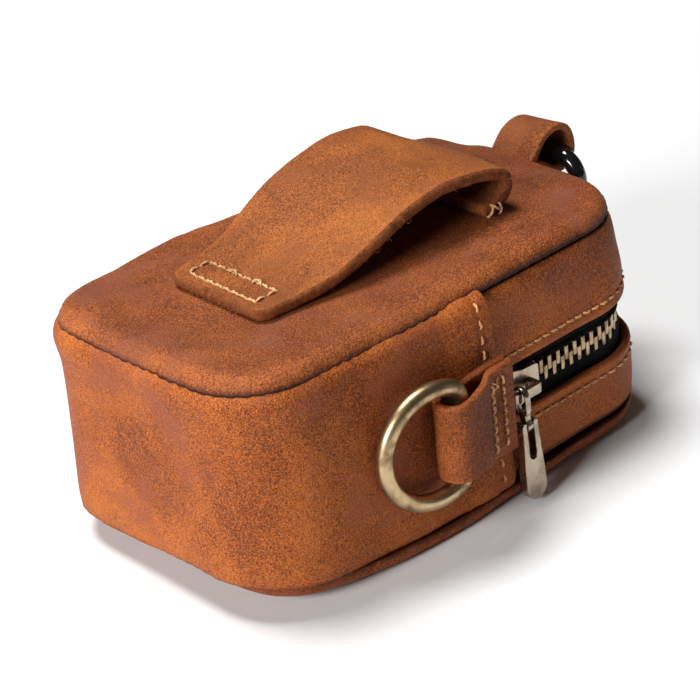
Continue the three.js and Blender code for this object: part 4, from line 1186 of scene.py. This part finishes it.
def loop_surface(a, b):
    q = loop_curve.at(a)
    ragged = 0.10 * row_noise(a, 1.3, 81) + 0.15 * row_noise(a, 6, 82)
    across = (b / LOOP_WIDTH - 0.5) * (loop_width(a) + ragged)
    # The far side's crest lies nearer to the sewn end
    along = (q[..., 0] - LOOP_START_X) / LOOP_LENGTH
    far = smoothstep(b / LOOP_WIDTH, 0.7, 0.0) * smoothstep(a / loop_curve.length, 0.88, 0.76)
    twist = 1.5 * bell(along - 0.50, 0.15) + 1.2 * bell(along - 0.72, 0.10) + 1.2 * bell(along - 0.87, 0.08)
    skew = 2.4 * smoothstep(b / LOOP_WIDTH, 0.6, 0.0) * smoothstep(along, 0.80, 0.97)
    return np.stack([q[..., 0] - skew, LOOP_Y - across, q[..., 1] + far * twist], -1)


LOOP_ROWS = (2.6, 8.2)


def loop_relief(a, b, p, side):
    edge = from_ends(b, LOOP_WIDTH)
    h = 0.22 * value_noise(p, 13, 83) + 0.08 * value_noise(p, 5, 84) - 0.18 * bell(edge, 1.2)
    for row in LOOP_ROWS:
        h = h - 0.25 * bell(a - row, 0.9)
    return h * (1 if side > 0 else 0.3)


def loop_wear(a, b, p, side):
    bend = bell(a - 0.72 * loop_curve.length, 9) * 0.5 + bell(a - 0.42 * loop_curve.length, 16) * 0.25
    stain = 0.4 * smoothstep(value_noise(p, 10, 85), 0, 0.8)
    return 0.45 * bell(from_ends(b, LOOP_WIDTH), 1.6) + bend + stain + 0.3 * bell(a, 2.5)


layer("belt_loop_leather", loop_surface, (loop_curve.length, LOOP_WIDTH), LOOP_THICK, (1.1, 0.9),
      LOOP_LEATHER, "belt_loop", loop_wear, loop_relief, 1.1, slot="loop_leather", raw=FLESH)


# Rows of stitches


def on_surface(surf, a, b, lift):
    """Places on the outer side of a surface, with their outward normals."""
    a, b = np.broadcast_arrays(np.asarray(a, float), np.asarray(b, float))
    n = outward_normal(surf, a, b)
    return surf(a, b) + n * np.asarray(lift, float)[..., None], n


rows = []
for seed, (surf, stitch_b, relief) in enumerate((back_strip, front_strip)):
    a = row_places(strip_round - 3, 3.2, pitch=2.45)
    b = np.full_like(a, stitch_b)
    places, normals = on_surface(surf, a, b, LEATHER / 2 + relief(a, b, surf(a, b), 1))
    rows += stitch_row(places, normals, seed=seed + 5)
add_piece("zip_strip_stitches", rows, STITCH, "bag", "bag_leather")

rows = []
for seed, at in enumerate((OVERLAP_STITCH, gusset_round - OVERLAP_STITCH)):
    b = row_places(WALL_LENGTH - 3, 3.0)
    a = np.full_like(b, at)
    lift = LEATHER / 2 + gusset_relief(np.full_like(b, OVERLAP_STITCH), b, lower_surf(a, b), 1)
    places, normals = on_surface(lower_surf, a, b, lift)
    rows += stitch_row(places, normals, seed=seed + 9)
add_piece("gusset_stitches", rows, STITCH, "bag", "bag_leather")

rows = []
for seed, back_by in enumerate(TAB_ROWS):
    b = row_places(TAB_BASE_WIDTH - 2, 2, pitch=2.5)
    places, normals = on_surface(tab_surface, tab_curve.length - back_by, b, TAB_THICK / 2 - 0.1)
    rows += stitch_row(places, normals, seed=seed + 13)
for turn_by in (0.7, -0.7):
    places, normals = on_surface(tab_surface, tab_curve.length - sum(TAB_ROWS) / 2, [3.4, 5.4], TAB_THICK / 2)
    rows += stitch_row(places, normals, 4.4, slant=turn_by, seed=15)[:1]
add_piece("tab_near_stitches", rows, STITCH, "bag", "bag_leather")

rows = []
inset = (LOOP_WIDTH - LOOP_END_WIDTH) / 2 + 2.4
across = row_places(LOOP_WIDTH - inset, inset, pitch=3.1)
along = np.linspace(LOOP_ROWS[0] + 1.4, LOOP_ROWS[1] - 1.4, 2)
box_rows = [(np.full_like(across, at), across) for at in LOOP_ROWS]
box_rows += [(along, np.full_like(along, at)) for at in (inset, LOOP_WIDTH - inset)]
for seed, (a, b) in enumerate(box_rows):
    lift = LOOP_THICK / 2 + loop_relief(a, b, loop_surface(a, b), 1)
    places, normals = on_surface(loop_surface, a, b, lift)
    rows += stitch_row(places, normals, 2.5, seed=seed + 19)
# Knots where the thread was doubled, and loose ends at the turned flap
for at_b, turn_by in ((14.6, 0.5), (15.4, -0.6), (23.2, 0.6), (24.0, -0.4)):
    places, normals = on_surface(loop_surface, LOOP_ROWS[1], [at_b, at_b + 0.6], LOOP_THICK / 2)
    rows += stitch_row(places, normals, 1.9, lie=0.34, slant=turn_by, seed=31)[:2]
flap_end = loop_surface(np.array([loop_curve.length - 1.2]), np.array([LOOP_WIDTH - 1.2]))[0]
LOOSE_ENDS = [((0.2, -1.6, 0.3), (0.8, 0.1, 0.6)), ((1.6, -1.7, 0.2), (0.7, -0.3, -0.7)),
              ((2.6, -1.5, 0.4), (0.2, 0.2, 1.0))]
for shift, way in LOOSE_ENDS:
    middle = flap_end + np.array(shift)
    ends = np.array([middle - 0.5 * np.array(way), middle + 0.5 * np.array(way)])
    rows += stitch_row(ends, np.array([[0.2, -1.0, 0.1]] * 2), 2.6, slant=0.1, seed=41)[:2]
add_piece("belt_loop_stitches", rows, CREAM, "bag", "loop_leather")

FIBRE_COUNT, FIBRE_REACH, FIBRE_RADII, FIBRE_SEED = 90, 1.15, [0.10, 0.09, 0.07, 0.05, 0.02], 91


def fibres(surf, edges, thick):
    """Short bent hairs of hide that stand off along the cut edges of a layer."""
    rng = np.random.RandomState(FIBRE_SEED)
    parts = []
    for a0, b0, a1, b1, away in edges:
        u = np.sort(rng.uniform(0, 1, FIBRE_COUNT))
        a, b = a0 + (a1 - a0) * u, b0 + (b1 - b0) * u
        lift = rng.uniform(-0.5, 0.25, FIBRE_COUNT) * thick
        places, normals = on_surface(surf, a, b, lift)
        inner, _ = on_surface(surf, a - away[0] * 0.5, b - away[1] * 0.5, lift)
        for p, n, o in zip(places, normals, unit(places - inner)):
            long = FIBRE_REACH * rng.uniform(0.25, 1.0) ** 2
            side = np.cross(n, o) * rng.uniform(-0.9, 0.9)
            droop = n * rng.uniform(-0.8, 0.25)
            t = np.linspace(0, 1, len(FIBRE_RADII))[:, None]
            line = p - o * 0.25 + t * long * (o + side * t + droop * t)
            parts.append(tube_parts(line, FIBRE_RADII, 4, up=n))
    return parts


end = loop_curve.length
edge_in = 0.25
near_b = LOOP_WIDTH - edge_in
loop_edges = [
    (0.16 * end, near_b - 0.8, 0.74 * end, near_b, (0, 1)),
    (0.22 * end, near_b - 0.6, 0.5 * end, near_b, (0, 1)),
    (edge_in, inset, edge_in, LOOP_WIDTH - inset, (-1, 0)),
    (0.86 * end, near_b, 0.995 * end, near_b, (0, 1))]
add_piece("belt_loop_fibres", fibres(loop_surface, loop_edges, LOOP_THICK), FUZZ, "bag", "loop_leather")


# Floor, light and world

FLOOR_REACH = 3.0
floor_mesh = bpy.data.meshes.new("floor")
corners = [(x * FLOOR_REACH, y * FLOOR_REACH, 0.0) for x, y in ((-1, -1), (1, -1), (1, 1), (-1, 1))]
floor_mesh.from_pydata(corners, [], [(0, 1, 2, 3)])
floor = new_object("floor", floor_mesh)
white = Nodes("floor_white")
white.set(Base_Color=rgb(0.80, 0.80, 0.80), Roughness=0.8)
floor_mesh.materials.append(white.material)

LIGHT_TARGET = Vector((0, 0, 0.03))


def soft_light(name, place, size, power):
    data = bpy.data.lights.new(name, "AREA")
    data.shape = "DISK"
    data.size = size
    data.energy = power
    turned = (LIGHT_TARGET - Vector(place)).to_track_quat("-Z", "Y").to_matrix().to_4x4()
    new_object(name, data).matrix_world = Matrix.Translation(Vector(place)) @ turned


soft_light("key", (-1.03, -0.16, 0.5), 0.42, 13.5)
soft_light("fill", (0.75, -0.75, 0.35), 0.4, 0.1)
soft_light("top", (-0.1, 0.3, 1.1), 0.5, 15.0)
world = bpy.data.worlds.new("world")
world.use_nodes = True
world.node_tree.nodes["Background"].inputs["Color"].default_value = rgb(1.0, 0.92, 0.84)
world.node_tree.nodes["Background"].inputs["Strength"].default_value = 0.045
bpy.context.scene.world = world
bpy.context.scene.view_settings.view_transform = "Standard"
